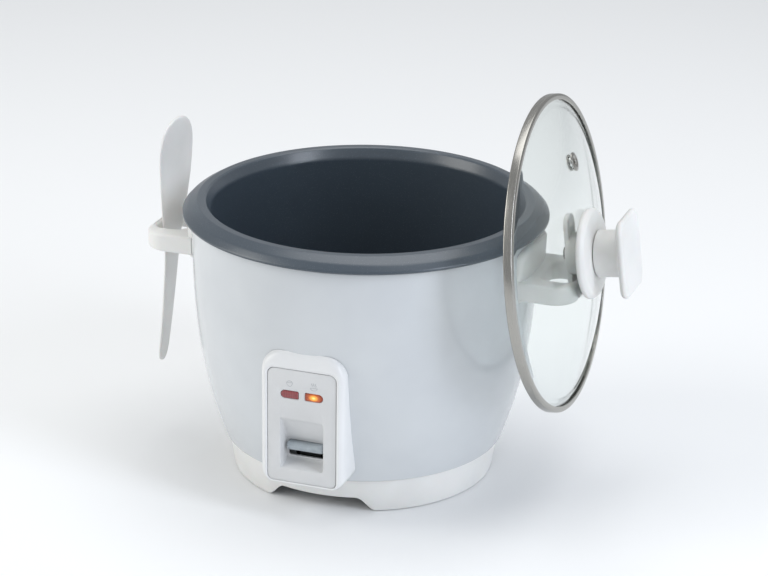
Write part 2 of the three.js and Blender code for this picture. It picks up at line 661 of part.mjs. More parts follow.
// Microswitch under the arm, pressed through its plunger.
const switchY = leverPivotY - 29;
const switchTop = armLow - 3.6;
const switchLow = shellLow + shellWall + GAP;
const plungerR = 1.5;
add("switch_body", cut(block(-10, 10, switchY - 6, switchY + 6, switchLow, switchTop),
  rod(plungerR + GAP, switchTop - 5.2, switchTop + 1).translate(0, switchY, 0)), blackPlastic);
add("switch_plunger", rod(plungerR, switchTop - 2.6, armLow - GAP).translate(0, switchY, 0), redLens);

// ---- Control panel --------------------------------------------------------------------------

const bezelOutline = (inset) => roundedRect(-bezelW / 2 + inset, bezelW / 2 - inset,
  bezelLow + inset, bezelHigh - inset, [11, 11, 8, 8].map((r) => Math.max(r - inset, 1)));
const bodyLine = -(shellFootR - 20);
const bezelSolid = standing(bezelOutline(0), panelY, bodyLine, 2.5, 4);
const bezelHollow = standing(bezelOutline(bezelWall), panelY + bezelWall, bodyLine + 5, 0, 4);
const faceOutline = (clear) => roundedRect(-faceW / 2 - clear, faceW / 2 + clear,
  faceLow - clear, faceHigh + clear, [4, 4, 3, 3]);
const screwColumns = panelScrewHoles(3.6, panelY + 1, bodyLine);
const bezelShell = cut(bezelSolid, bezelHollow);
add("panel_bezel", cut(join(bezelShell, ...screwColumns), bodyOf(GAP),
  standing(faceOutline(GAP), panelY - 5, panelY + 6, 0, 4),
  ...panelScrewHoles(1.6, panelY + 1.8, bodyLine)), white);

// The face plate's pocket is a finger scoop: shallow at its top, deepest at the lever's slot.
const faceFront = panelY + 0.5;
const pocketBack = panelY + pocketDepth;
function scoop(grow) {
  const s = new THREE.Shape();
  s.moveTo(panelY - 1, pocketLow - grow);
  s.lineTo(panelY, pocketLow - grow);
  s.lineTo(pocketBack + grow, slotLow - 1.5 - grow);
  s.lineTo(pocketBack + grow, slotHigh + 1 + grow * 0.4);
  s.lineTo(panelY + 2.2 + grow, pocketHigh - 0.6 + grow * 0.6);
  s.lineTo(panelY, pocketHigh + grow);
  s.lineTo(panelY - 1, pocketHigh + grow);
  return s;
}
// An outline drawn in Y and Z, as wide as given across X.
const across = (shape, halfWidth) =>
  raised(shape, -halfWidth, halfWidth).rotateX(Math.PI / 2).rotateZ(Math.PI / 2);
const pocketWall = 1.5;
const faceBlank = common(
  join(standing(faceOutline(0), faceFront, faceFront + faceT, 0, 4),
    across(scoop(pocketWall), pocketW / 2 + pocketWall)),
  block(-bezelW, bezelW, faceFront, faceFront + 30, bezelLow, bezelHigh));

function lensOutline(side, clear) {
  const [w, h] = [lensW / 2 + clear, lensH / 2 + clear];
  const round = h - 0.01;
  const corners = side < 0 ? [round, 0.7, 0.7, round] : [0.7, round, round, 0.7];
  return roundedRect(side * lensOff - w, side * lensOff + w, lensZ - h, lensZ + h, corners);
}
const leverSlot = standing(roundedRect(-slotW / 2, slotW / 2, slotLow, slotHigh, [1.5, 1.5, 1.5, 1.5]),
  panelY, pocketBack + 5, 0, 3);
add("panel_face", cut(faceBlank, across(scoop(0), pocketW / 2), leverSlot,
  ...[-1, 1].map((side) => standing(lensOutline(side, 0), panelY - 1, panelY + 5, 0, 4))), faceWhite);
add("cook_lens", standing(lensOutline(-1, -GAP / 2), faceFront - 0.2, faceFront + faceT, 0, 4), redLens);
add("warm_lens", standing(lensOutline(1, -GAP / 2), faceFront - 0.2, faceFront + faceT, 0, 4), amberLens);

const lampR = 1.5;
const lampY = faceFront + faceT + GAP + lampR;
const boardY = lampY + lampR + GAP;
for (const [name, side] of [["cook_lamp", -1], ["warm_lamp", 1]])
  add(name, rod(lampR, -4, 4, 12).rotateY(Math.PI / 2).translate(side * lensOff, lampY, lensZ), glass);
add("lamp_board", block(-12.5, 12.5, boardY, boardY + 1, lensZ - 5.5, lensZ + 5.5), boardGreen);

const panelScrewSeat = -Math.sqrt((shellRadius(panelScrewZ) - shellWall - GAP) ** 2
  - (panelScrewX + 3.2) ** 2) + GAP;
[-1, 1].forEach((side, i) =>
  add(`panel_screw_${i + 1}`, screw(3, 1.6, 1.3, panelScrewSeat - panelY - 2.2)
    .rotateX(Math.PI / 2).translate(side * panelScrewX, panelScrewSeat, panelScrewZ), steel));

// ---- Mains inlet, thermal fuse and internal leads -------------------------------------------

const inletFace = shellRadius(inletHigh) + 4;
const inletBack = shellFootR - 14;
const inletMid = (inletLow + inletHigh) / 2;
const inletPlate = common(standing(roundedRect(-19, 19, inletLow - 2, inletHigh + 4, [4, 4, 4, 4]),
  inletBack + 8, inletFace, 0, 4), block(-30, 30, 60, 120, 0, 100));
const inletBody = block(-inletW / 2 + GAP, inletW / 2 - GAP, inletBack, inletFace - 1,
  inletLow + GAP, inletHigh - GAP);
const inletSocket = standing(roundedRect(-11.5, 11.5, inletMid - 5, inletMid + 5, [4, 4, 4, 4]),
  inletBack + 3, inletFace + 5, 0, 4);
const pinX = 6;
const pinTool = (side, r, front, back) =>
  rod(r, -back, -front, 12).rotateX(Math.PI / 2).translate(side * pinX, 0, inletMid);
add("mains_inlet", cut(join(cut(inletPlate, bodyOf(GAP)), inletBody), inletSocket,
  ...[-1, 1].map((side) => pinTool(side, 1.9, inletBack - 1, inletBack + 5))), blackPlastic);
for (const [name, side] of [["inlet_pin_1", -1], ["inlet_pin_2", 1]])
  add(name, pinTool(side, 1.6, inletBack - 4, inletFace - 4), steel);

const leadStart = inletBack - 4 - 3 * GAP;
const fuseZ = inletMid;
const fuseX = 32;
const fuseY = leadStart - 18.6;
const fuseHalf = 9;
const fuseLead = fuseHalf + 2 * GAP; // from the fuse's middle to the end of each lead
add("thermal_fuse", rod(3.2, -fuseHalf, fuseHalf, 12).rotateX(Math.PI / 2)
  .translate(-fuseX, fuseY, fuseZ), fibreglass);

const leadR = 1.1;
const legEnd = shieldFloorZ - 6 - 2 * GAP - leadR;
const leads = {
  lead_inlet_to_fuse: [[-pinX, leadStart], [-pinX - 2, leadStart - 5], [-20, leadStart - 2.6],
    [-fuseX, leadStart - 4.6], [-fuseX, fuseY + fuseLead]],
  lead_fuse_to_switch: [[-fuseX, fuseY - fuseLead], [-fuseX - 4, fuseY - 24], [-fuseX - 8, fuseY - 44],
    [-fuseX - 4, switchY + 36], [-24, switchY + 10], [-11.8, switchY + 2]],
  lead_inlet_to_heater: [[pinX, leadStart], [pinX + 2, leadStart - 4], [heaterLegX + 8, leadStart - 4.6],
    [heaterLegX + 8, legY - 6.7], [heaterLegX, legY]],
};
for (const [name, route] of Object.entries(leads)) {
  const points = route.map(([x, y]) => V3(x, y, fuseZ));
  if (name.endsWith("heater")) points.at(-1).z = legEnd;
  if (name.endsWith("switch")) points.at(-1).z = switchTop - 2.5;
  add(name, swept(points, leadR, 16, 5), leadWhite);
}

// ---- Lid and its knob -----------------------------------------------------------------------

const lid = new THREE.Group();
const glassEdgeR = lidR - lidRingT - GAP;
const glassLow = -lidRingT - GAP - glassT;
const screwR = 2;
const domeLine = Array.from({ length: 7 }, (_, i) => domeFootR + ((4 - domeFootR) * i) / 6);

const atVent = (geometry) => geometry.rotateY(-Math.asin(ventR / domeR))
  .translate(-ventR, 0, domeZ(ventR)).rotateZ(ventTurn);

add("lid_glass", cut(turned([
  [glassEdgeR, glassLow], [glassEdgeR, glassLow + glassT],
  ...domeLine.map((r) => [r, domeZ(r)]),
  ...domeLine.toReversed().map((r) => [r, domeZ(r) - glassT]),
]), atVent(rod(3 + GAP, -10, 10))), glass, lid);

add("lid_ring", turned([
  [lidR - lidRingIn, -lidRingT], [lidR - lidRingIn, 0], [lidR, 0], [lidR, -lidSkirt],
  [lidR - lidRingIn, -lidSkirt], [lidR - lidRingIn, -lidSkirt + lidRingT],
  [lidR - lidRingT, -lidSkirt + lidRingT], [lidR - lidRingT, -lidRingT],
]), steel, lid);

add("vent_eyelet", atVent(turned([
  [1.7, -glassT - 1.2], [4.6, -glassT - 1.2], [4.6, -glassT - 0.5], [3, -glassT - 0.5],
  [3, 0.6], [5.4, 0.6], [5, 1.5], [1.7, 1.5],
], FINE)), steel, lid);

const knobLow = glassRise + GAP;
add("knob_base", turned([
  [screwR + GAP, knobLow], [14, knobLow - 0.2], [knobBaseR - 3, domeZ(knobBaseR - 3) + GAP + 0.3],
  [knobBaseR, domeZ(knobBaseR) + 1.6], [knobBaseR, knobLow + 2.2], [knobBaseR - 2, knobLow + 4.6],
  [knobStemR, knobLow + 6.2], [screwR + GAP, knobLow + 6.2],
], MIDDLE), handleWhite, lid);

const stemLow = knobLow + 6.2 + GAP;
const [headL, headW] = [knobHeadL / 2, knobHeadW / 2];
const head = raised(roundedRect(-headL, headL, -headW, headW, [7, 7, 7, 7]),
  knobStemTop, knobStemTop + knobHeadT, 1.4, 5);
add("knob_grip", cut(join(rod(knobStemR, stemLow, knobStemTop + 2, MIDDLE), head),
  rod(screwR + GAP, stemLow - 1, knobStemTop)), handleWhite, lid);

// The hanger inside the lid: its boss sits on the handle's outer bar, its blade drops in the slot.
const bossTop = domeZ(knobStemR) - glassT - GAP;
const bossMid = (hangBladeLow + hangBladeT + bossTop) / 2 + 2;
const hangBossR = (lidCentreZ + bossMid * Math.sin(hangLean) - handleTop - GAP) / Math.cos(hangLean);
const bladeHalf = [hangBladeL / 2, hangBladeW / 2];
const bladeR = hangBladeW / 2 - 0.5;
const blade = raised(roundedRect(-bladeHalf[0], bladeHalf[0], -bladeHalf[1], bladeHalf[1],
  [bladeR, bladeR, bladeR, bladeR]), hangBladeLow, hangBladeLow + hangBladeT, 0, 5);
add("lid_hanger", cut(join(blade, rod(hangBossR, hangBladeLow + 1, bossTop, MIDDLE)),
  rod(screwR + GAP, 0, bossTop + 1),
  // below the handle's top the boss gives way to the bar
  block(hangBossR - 0.6, 40, -40, 40, hangBladeLow + hangBladeT, bossTop + 1)), handleWhite, lid);
add("knob_screw", screw(4.4, 2.2, screwR, knobStemTop - 1.5 - hangBladeLow)
  .translate(0, 0, hangBladeLow - GAP), steel, lid);

lid.rotation.y = Math.PI / 2 - hangLean;
lid.position.set(hangX, 0, lidCentreZ);
assembly.add(lid);

// ---- Rice paddle ----------------------------------------------------------------------------
// Its side view is a shallow curve; its front view widens from the grip to the round blade.

const paddleX = -handleSlotMid;
const paddleNeck = handleSlotW / 2 - paddleClear; // half its width where it stands in the slot
const paddleSide = new THREE.QuadraticBezierCurve(
  V2(paddleX - 12.2, paddleLow), V2(paddleX - 2.2, paddleLow + 73),
  V2(paddleX - 1.1, paddleHigh));
const paddleFront = new THREE.SplineCurve([
  V2(0, 0.8), V2(0.012, 4.2), V2(0.06, 6.3), V2(0.25, 7.8), V2(0.42, 9.2),
  V2(0.53, paddleNeck - 2.7), V2(0.59, paddleNeck), V2(0.7, 19.2), V2(0.82, 22.8), V2(0.9, 23.4),
  V2(0.96, 19.4), V2(0.99, 10), V2(1, 0.8),
]);
const paddleSections = paddleFront.getPoints(24).map(({ x: t, y: half }) => {
  const along = THREE.MathUtils.clamp(t, 0, 1);
  const centre = paddleSide.getPoint(along);
  const [edge, thick] = [Math.max(half, 0.8), paddleT / 2];
  const rim = Math.min(edge * 0.4, 1.2);
  return [[-thick * 0.4, -edge], [thick * 0.4, -edge], [thick, -edge + rim], [thick, edge - rim],
    [thick * 0.4, edge], [-thick * 0.4, edge], [-thick, edge - rim], [-thick, -edge + rim]]
    .map(([x, y]) => V3(centre.x + x, y, centre.y));
});
add("rice_paddle", lofted(paddleSections), handleWhite);

// ---- Origin ---------------------------------------------------------------------------------

const footprint = new THREE.Box3().setFromObject(assembly);
assembly.position.x = -(footprint.min.x + footprint.max.x) / 2;
assembly.position.y = -(footprint.min.y + footprint.max.y) / 2;

export default assembly;
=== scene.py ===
# %% [markdown]
# # A small rice cooker, with its lid hung on one handle and its paddle in the other
# The cooker is a painted steel shell on a moulded base. A coated pot hangs in it by its rim, and
# the glass lid hooks on a side handle. This script builds the surfaces that the eye sees on top of
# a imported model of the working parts, so every place below is read from that model or measured
# from the cooker's own upright axis, in metres.

# %% Load the working model
import math

import bmesh
import bpy
from mathutils import Matrix, Vector


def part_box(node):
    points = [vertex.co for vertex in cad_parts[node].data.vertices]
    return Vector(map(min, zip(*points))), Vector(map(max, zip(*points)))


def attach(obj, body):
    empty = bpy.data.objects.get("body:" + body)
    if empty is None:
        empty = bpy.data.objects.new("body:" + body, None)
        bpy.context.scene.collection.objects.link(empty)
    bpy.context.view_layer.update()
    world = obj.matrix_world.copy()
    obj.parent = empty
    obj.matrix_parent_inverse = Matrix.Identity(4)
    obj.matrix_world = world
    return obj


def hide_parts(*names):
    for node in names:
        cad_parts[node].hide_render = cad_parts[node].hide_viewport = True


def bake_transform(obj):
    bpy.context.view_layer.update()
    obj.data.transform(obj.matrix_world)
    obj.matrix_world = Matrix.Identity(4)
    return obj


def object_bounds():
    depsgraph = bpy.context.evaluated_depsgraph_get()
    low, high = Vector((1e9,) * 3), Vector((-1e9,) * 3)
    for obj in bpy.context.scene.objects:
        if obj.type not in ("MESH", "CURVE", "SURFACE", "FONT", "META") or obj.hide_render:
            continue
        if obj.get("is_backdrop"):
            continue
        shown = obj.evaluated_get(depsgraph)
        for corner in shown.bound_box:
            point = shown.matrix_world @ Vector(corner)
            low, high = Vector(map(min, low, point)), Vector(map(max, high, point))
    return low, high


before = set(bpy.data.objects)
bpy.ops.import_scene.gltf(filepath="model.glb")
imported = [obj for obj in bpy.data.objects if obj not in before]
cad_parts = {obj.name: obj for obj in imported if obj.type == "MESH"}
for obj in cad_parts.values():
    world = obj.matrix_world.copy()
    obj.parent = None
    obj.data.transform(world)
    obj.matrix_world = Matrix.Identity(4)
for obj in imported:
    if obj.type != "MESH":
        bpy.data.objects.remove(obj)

MM = 0.001
cad_low, cad_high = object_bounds()
pot_low, pot_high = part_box("inner_pot")
shell_low, shell_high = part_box("outer_shell")
axis_x = (pot_low.x + pot_high.x) / 2
rim_r = (pot_high.x - pot_low.x) / 2
to_axis = Matrix.Translation((axis_x, 0, 0))
print(f"cooker axis at x = {axis_x:.4f} m, rim radius {rim_r / MM:.1f} mm")

# %% [markdown]
# ## Camera, floor and light
# The camera comes first, because each surface is judged from it. It is a long lens from a little
# above the rim, turned a fifth of a right angle to the right of the control panel. Three large
# soft panels light the cooker as a product studio does: a bright one on its left, which makes the
# broad pale band down the enamel, a cooler and weaker one on its right, and one overhead.

# %% Camera
azimuth, elevation, roll = math.radians(19.5), 0.369, 0.013
distance = 1.64
back = Vector((math.sin(azimuth) * math.cos(elevation), -math.cos(azimuth) * math.cos(elevation),
               math.sin(elevation)))
right = Vector((math.cos(azimuth), math.sin(azimuth), 0))
up = back.cross(right)
camera = bpy.data.objects.new("camera", bpy.data.cameras.new("camera"))
camera.data.lens = 129.6
camera.data.clip_end = 20
facing = Matrix((right, up, back)).transposed().to_4x4()
aim = Vector((axis_x, 0, 0)) + 10.88 * MM * right + 99.34 * MM * up
camera.matrix_world = Matrix.Translation(aim + distance * back) @ facing @ Matrix.Rotation(roll, 4, "Z")
bpy.context.scene.collection.objects.link(camera)
bpy.context.scene.camera = camera
print("camera at", [round(v, 3) for v in camera.matrix_world.translation])


# %% Soft panels, sky and floor
def linear(hex_colour):
    """An sRGB hex colour as the linear RGBA that a shader wants."""
    channels = [int(hex_colour[i:i + 2], 16) / 255 for i in (1, 3, 5)]
    return [c / 12.92 if c <= 0.04045 else ((c + 0.055) / 1.055) ** 2.4 for c in channels] + [1.0]


def soft_panel(name, place, target, size, power, colour):
    """A rectangular studio light at place, facing target."""
    light = bpy.data.lights.new(name, "AREA")
    light.shape = "RECTANGLE"
    light.size, light.size_y = size
    light.energy = power
    light.color = linear(colour)[:3]
    panel = bpy.data.objects.new(name, light)
    panel.location = place
    panel.rotation_euler = (Vector(target) - Vector(place)).to_track_quat("-Z", "Y").to_euler()
    bpy.context.scene.collection.objects.link(panel)


middle = (axis_x, 0, 0.09)
soft_panel("left_softbox", (-1.5, -0.9, 0.9), middle, (1.0, 1.5), 16, "#fffdf8")
soft_panel("right_softbox", (1.5, -0.5, 0.8), middle, (0.5, 1.3), 14, "#eef4ff")
soft_panel("top_softbox", (0.1, 0.3, 1.7), middle, (1.6, 1.2), 13, "#ffffff")
world = bpy.data.worlds.new("pale_studio")
world.use_nodes = True
world.node_tree.nodes["Background"].inputs["Color"].default_value = linear("#f2f5f8")
world.node_tree.nodes["Background"].inputs["Strength"].default_value = 0.52
bpy.context.scene.world = world
bpy.context.scene.view_settings.view_transform = "Standard"

# %% [markdown]
# ## Materials
# Each finish starts from what it is and how it was made. One function sets a shader's own sockets,
# one adds a node, and `grained` gives a surface the fine relief that its process leaves: the
# ripple of stoved enamel, the spark texture of a mould, or the grit of a sprayed coating. Sizes
# are real ones in millimetres, on coordinates that stay with the piece.


# %% Material helpers
def new_material(name, colour, roughness, **sockets):
    """A principled material with constant values on the shader's own sockets."""
    material = bpy.data.materials.new(name)
    material.use_nodes = True
    shader = material.node_tree.nodes["Principled BSDF"]
    shader.inputs["Base Color"].default_value = linear(colour)
    shader.inputs["Roughness"].default_value = roughness
    for socket, value in sockets.items():
        shader.inputs[socket.replace("_", " ")].default_value = value
    return material


def add_node(material, kind, links=None, **settings):
    """A node with its settings, given by property or socket name, and its incoming links."""
    made = material.node_tree.nodes.new(kind)
    for key, value in settings.items():
        if hasattr(made, key):
            setattr(made, key, value)
        else:
            made.inputs[key.replace("_", " ")].default_value = value
    for socket, source in (links or {}).items():
        material.node_tree.links.new(source, made.inputs[socket])
    return made


def wire(material, source, socket):
    """Links a node's output to the material's shader."""
    shader = material.node_tree.nodes["Principled BSDF"]
    material.node_tree.links.new(source, shader.inputs[socket])


def grained(material, size_mm, height_mm, rough=(0.3, 0.4), detail=2.0, stretch=(1, 1, 1), source="Object"):
    """Fine relief of one grain size, with its roughness wandering between two values."""
    place = add_node(material, "ShaderNodeTexCoord")
    mapped = add_node(material, "ShaderNodeMapping", {"Vector": place.outputs[source]}, Scale=stretch)
    noise = add_node(material, "ShaderNodeTexNoise", {"Vector": mapped.outputs["Vector"]},
                     Scale=1 / (size_mm * MM), Detail=detail)
    bump = add_node(material, "ShaderNodeBump", {"Height": noise.outputs["Fac"]},
                    Strength=1.0, Distance=height_mm * MM)
    wire(material, bump.outputs["Normal"], "Normal")
    spread = add_node(material, "ShaderNodeMapRange", {"Value": noise.outputs["Fac"]},
                      From_Min=0.3, From_Max=0.7, To_Min=rough[0], To_Max=rough[1])
    wire(material, spread.outputs["Result"], "Roughness")
    return mapped, noise


def tinted(material, mapped, light, dark, patch_mm, low=0.35, high=0.65):
    """Two shades of the base colour in soft patches."""
    cloud = add_node(material, "ShaderNodeTexNoise", {"Vector": mapped.outputs["Vector"]},
                     Scale=1 / (patch_mm * MM), Detail=3.0)
    ramp = add_node(material, "ShaderNodeValToRGB", {"Fac": cloud.outputs["Fac"]})
    ramp.color_ramp.elements[0].position, ramp.color_ramp.elements[1].position = low, high
    ramp.color_ramp.elements[0].color, ramp.color_ramp.elements[1].color = linear(dark), linear(light)
    wire(material, ramp.outputs["Color"], "Base Color")
    return ramp


# %% Enamel and moulded plastics
# Stoved white enamel on steel: a deep gloss over a faint ripple, cool where it mirrors the room.
enamel = new_material("stoved_white_enamel", "#cbcfd2", 0.2, Coat_Weight=0.55, Coat_Roughness=0.06)
mapped, _ = grained(enamel, 2.4, 0.004, (0.20, 0.27))
tinted(enamel, mapped, "#ced2d5", "#c7cbcf", 60)

# White polypropylene, injection moulded: satin, a little translucent, with a fine spark texture.
polypropylene = new_material("moulded_white_polypropylene", "#e4e4e2", 0.38, Subsurface_Weight=0.06,
                             Subsurface_Scale=0.003, Specular_IOR_Level=0.45)
mapped, _ = grained(polypropylene, 0.9, 0.006, (0.33, 0.43))
tinted(polypropylene, mapped, "#e7e7e5", "#dfdfdd", 35)

# Gloss white ABS: the panel's bezel, polished in the mould, so it is brighter than the handles.
bezel_abs = new_material("polished_white_abs", "#e6e7e8", 0.3, Coat_Weight=0.15, Coat_Roughness=0.1)
mapped, _ = grained(bezel_abs, 1.6, 0.0012, (0.28, 0.34))
tinted(bezel_abs, mapped, "#e8e9ea", "#e1e2e3", 40)

# Spark-eroded white ABS: the face plate, whose mould was left matt. Its base colour is set greyer than the
# bezel's, as painted shade for the darker look of the front face.
# The real grain is about 0.1 mm and is drawn four times as coarse, so that it shows.
face_abs = new_material("spark_eroded_white_abs_painted_shade", "#d3d4d5", 0.5)
mapped, _ = grained(face_abs, 0.4, 0.012, (0.44, 0.56), detail=3.0)
tinted(face_abs, mapped, "#d5d6d7", "#cfd0d1", 25)

# Blue-grey ABS: the cook lever's cap, its gloss wandering a little over a fine grain.
lever_abs = new_material("blue_grey_lever_abs", "#a9b2b8", 0.32, Coat_Weight=0.2, Coat_Roughness=0.15)
mapped, _ = grained(lever_abs, 0.5, 0.006, (0.26, 0.4))
tinted(lever_abs, mapped, "#aeb7bd", "#9fa8af", 6)

# Glass-filled phenolic: the mains inlet and the switch, dull black with pale fibre flecks.
phenolic = new_material("black_phenolic", "#1b1c1e", 0.55)
mapped, _ = grained(phenolic, 0.35, 0.02, (0.45, 0.62), detail=4.0)
tinted(phenolic, mapped, "#27292b", "#151618", 1.5, 0.5, 0.75)
print("plastics and enamel ready")

# %% Non-stick coating
# Sprayed fluoropolymer on aluminium, blue-grey, with fine mica that sparkles in the clear topcoat.
nonstick = new_material("sprayed_nonstick_coating", "#414b55", 0.36, Coat_Weight=0.5, Coat_Roughness=0.25)
mapped, _ = grained(nonstick, 0.5, 0.010, (0.30, 0.41), detail=4.0)
fleck = add_node(nonstick, "ShaderNodeTexVoronoi", {"Vector": mapped.outputs["Vector"]},
                 Scale=1 / (0.9 * MM), feature="F1")
spark = add_node(nonstick, "ShaderNodeValToRGB", {"Fac": fleck.outputs["Distance"]})
spark.color_ramp.elements[0].position, spark.color_ramp.elements[1].position = 0.08, 0.2
spark.color_ramp.elements[0].color, spark.color_ramp.elements[1].color = linear("#66707a"), linear("#3f4953")
wire(nonstick, spark.outputs["Color"], "Base Color")


# %% Metals
def rolled(name, colour, rough, line_mm, height_mm, anisotropy=0.0):
    """A metal with fine lines along the first direction of the piece's own map."""
    metal = new_material(name, colour, rough[0], Metallic=1.0, Anisotropic=anisotropy)
    grained(metal, line_mm, height_mm, rough, 3.0, (0.02, 1, 1), "UV")
    return metal


# Stainless strip rolled into the lid's ring: bright, with lines that run round it.
stainless = rolled("rolled_stainless_strip", "#a9a7a2", (0.16, 0.3), 0.25, 0.004, 0.4)

# Zinc-plated steel: brackets, cover and screws, with the faint spangle of the plating.
zinc = new_material("zinc_plated_steel", "#a3a5a6", 0.4, Metallic=1.0)
mapped, _ = grained(zinc, 0.7, 0.006, (0.32, 0.5), detail=3.0)
tinted(zinc, mapped, "#aaacad", "#969899", 5)

# Sintered ferrite: the sensor's slug and the latch magnet, charcoal and faintly gritty.
ferrite = new_material("sintered_ferrite", "#3b3c3f", 0.7)
mapped, _ = grained(ferrite, 0.3, 0.02, (0.6, 0.8), detail=4.0)
tinted(ferrite, mapped, "#44464a", "#303235", 1.2)
print("metals ready")

# %% Glass and lamps
# Tempered soda-lime glass: clear, with the slight green of its iron seen through the edge.
tempered_glass = new_material("tempered_soda_lime_glass", "#f4f8f6", 0.01, Transmission_Weight=1.0,
                              IOR=1.5)
mapped, _ = grained(tempered_glass, 12, 0.004, (0.01, 0.03))
# A neon lamp's bulb, clear glass with a warm cast from the gas.
lamp_glass = new_material("neon_lamp_glass", "#ffd9b0", 0.05, Transmission_Weight=0.8, IOR=1.5)
grained(lamp_glass, 2, 0.004, (0.03, 0.08))


def ribbed(material, pitch_mm):
    """Upright prism ribs moulded behind a clear lens, seen as soft bands in it."""
    place = add_node(material, "ShaderNodeTexCoord")
    bands = add_node(material, "ShaderNodeTexWave", {"Vector": place.outputs["Object"]},
                     wave_type="BANDS", bands_direction="X", wave_profile="SIN",
                     Scale=0.314 / (pitch_mm * MM), Distortion=0.0)
    bump = add_node(material, "ShaderNodeBump", {"Height": bands.outputs["Fac"]},
                    Strength=0.6, Distance=0.08 * MM)
    wire(material, bump.outputs["Normal"], "Normal")
    return place, bands


# Red polycarbonate lens, unlit: deep and a little cloudy.
red_lens = new_material("red_polycarbonate_lens", "#8e3d3e", 0.25, Coat_Weight=0.6, Coat_Roughness=0.08,
                        Subsurface_Weight=0.15, Subsurface_Scale=0.002)
place, bands = ribbed(red_lens, 1.0)
shades = add_node(red_lens, "ShaderNodeValToRGB", {"Fac": bands.outputs["Fac"]})
shades.color_ramp.elements[0].color = linear("#7f3236")
shades.color_ramp.elements[1].color = linear("#96474a")
wire(red_lens, shades.outputs["Color"], "Base Color")

# Amber polycarbonate lens over the lit lamp: white-gold at its middle, brown towards its ends.
amber_lens = new_material("amber_polycarbonate_lens", "#b0622c", 0.25, Coat_Weight=0.6, Coat_Roughness=0.08,
                          Emission_Strength=0.6)
lens_low, lens_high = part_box("warm_lens")
lens_mid = (lens_low + lens_high) / 2
place, bands = ribbed(amber_lens, 1.0)
centred = add_node(amber_lens, "ShaderNodeMapping", {"Vector": place.outputs["Object"]},
                   vector_type="TEXTURE", Location=lens_mid, Scale=(4.6 * MM, 10 * MM, 3.0 * MM))
ball = add_node(amber_lens, "ShaderNodeTexGradient", {"Vector": centred.outputs["Vector"]},
                gradient_type="SPHERICAL")
glow = add_node(amber_lens, "ShaderNodeValToRGB", {"Fac": ball.outputs["Fac"]})
glow.color_ramp.elements[0].color, glow.color_ramp.elements[1].color = linear("#7a2f14"), linear("#ffe9a0")
glow.color_ramp.elements.new(0.35).color = linear("#a8501c")
glow.color_ramp.elements.new(0.7).color = linear("#eda53a")
wire(amber_lens, glow.outputs["Color"], "Emission Color")
wire(amber_lens, glow.outputs["Color"], "Base Color")

# %% Sleeves, board and print
# Woven glass-fibre sleeve round the thermal fuse: cream, with a coarse diagonal braid.
fibreglass = new_material("braided_glass_fibre_sleeve", "#d9d2bd", 0.75, Sheen_Weight=0.3)
mapped, _ = grained(fibreglass, 0.6, 0.08, (0.65, 0.85), stretch=(1, 0.35, 1))
tinted(fibreglass, mapped, "#e0dac6", "#c4bca4", 1.0)
# Silicone rubber lead sleeve: off-white, soft and dusty.
silicone = new_material("silicone_lead_sleeve", "#dbd8cf", 0.6, Sheen_Weight=0.2)
mapped, _ = grained(silicone, 0.5, 0.01, (0.55, 0.68))
tinted(silicone, mapped, "#dedbd3", "#cfccc2", 4)
# Glass-epoxy board with green solder resist over faint copper tracks.
board_epoxy = new_material("green_circuit_board", "#2f5a3d", 0.3, Coat_Weight=0.5, Coat_Roughness=0.1)
mapped, _ = grained(board_epoxy, 0.4, 0.01, (0.26, 0.36))
tinted(board_epoxy, mapped, "#3c6d49", "#285036", 2.2, 0.48, 0.52)
# Pad-printed grey ink: the two function symbols over the lamps.
grey_ink = new_material("pad_printed_grey_ink", "#a9acb0", 0.6)
grained(grey_ink, 0.3, 0.004, (0.55, 0.68))
print("all materials:", len(bpy.data.materials))

# %% [markdown]
# ## How the pieces are made
# Most of a cooker is turned, spun or deep-drawn, so its pieces are profiles carried round an axis.
# `softened` rounds the corners of a profile, because no pressed or moulded edge is sharp, and
# `turned` carries it round and lays a map on it: metres round the piece, and metres along the
# profile. `finish` puts a mesh in its place, gives it its material and says which body it rides on.


# %% Profile and mesh helpers
def softened(points, steps=5):
    """A closed outline of (a, b, radius) corners with each corner rounded by its radius."""
    outline = []
    for i, (a, b, radius) in enumerate(points):
        here = Vector((a, b))
        to_last = Vector(points[i - 1][:2]) - here
        to_next = Vector(points[(i + 1) % len(points)][:2]) - here
        if radius <= 0 or to_last.length < 1e-9 or to_next.length < 1e-9:
            outline.append(here)
            continue
        half = to_last.angle(to_next) / 2
        if half > math.radians(89.5):
            outline.append(here)
            continue
        reach = min(radius / math.tan(half), 0.49 * to_last.length, 0.49 * to_next.length)
        start, end = here + to_last.normalized() * reach, here + to_next.normalized() * reach
        for k in range(steps + 1):
            t = k / steps
            outline.append((1 - t) ** 2 * start + 2 * t * (1 - t) * here + t * t * end)
    return outline


def mesh_object(name, vertices, faces):
    mesh = bpy.data.meshes.new(name)
    mesh.from_pydata([tuple(v) for v in vertices], [], faces)
    made = bpy.data.objects.new(name, mesh)
    bpy.context.scene.collection.objects.link(made)
    return made


def face_outwards(made, merge=1e-7):
    """Merges doubles and points every face of a closed mesh outwards."""
    work = bmesh.new()
    work.from_mesh(made.data)
    bmesh.ops.remove_doubles(work, verts=work.verts, dist=merge)
    bmesh.ops.dissolve_degenerate(work, dist=merge, edges=work.edges)
    bmesh.ops.recalc_face_normals(work, faces=work.faces)
    work.to_mesh(made.data)
    work.free()
    return made


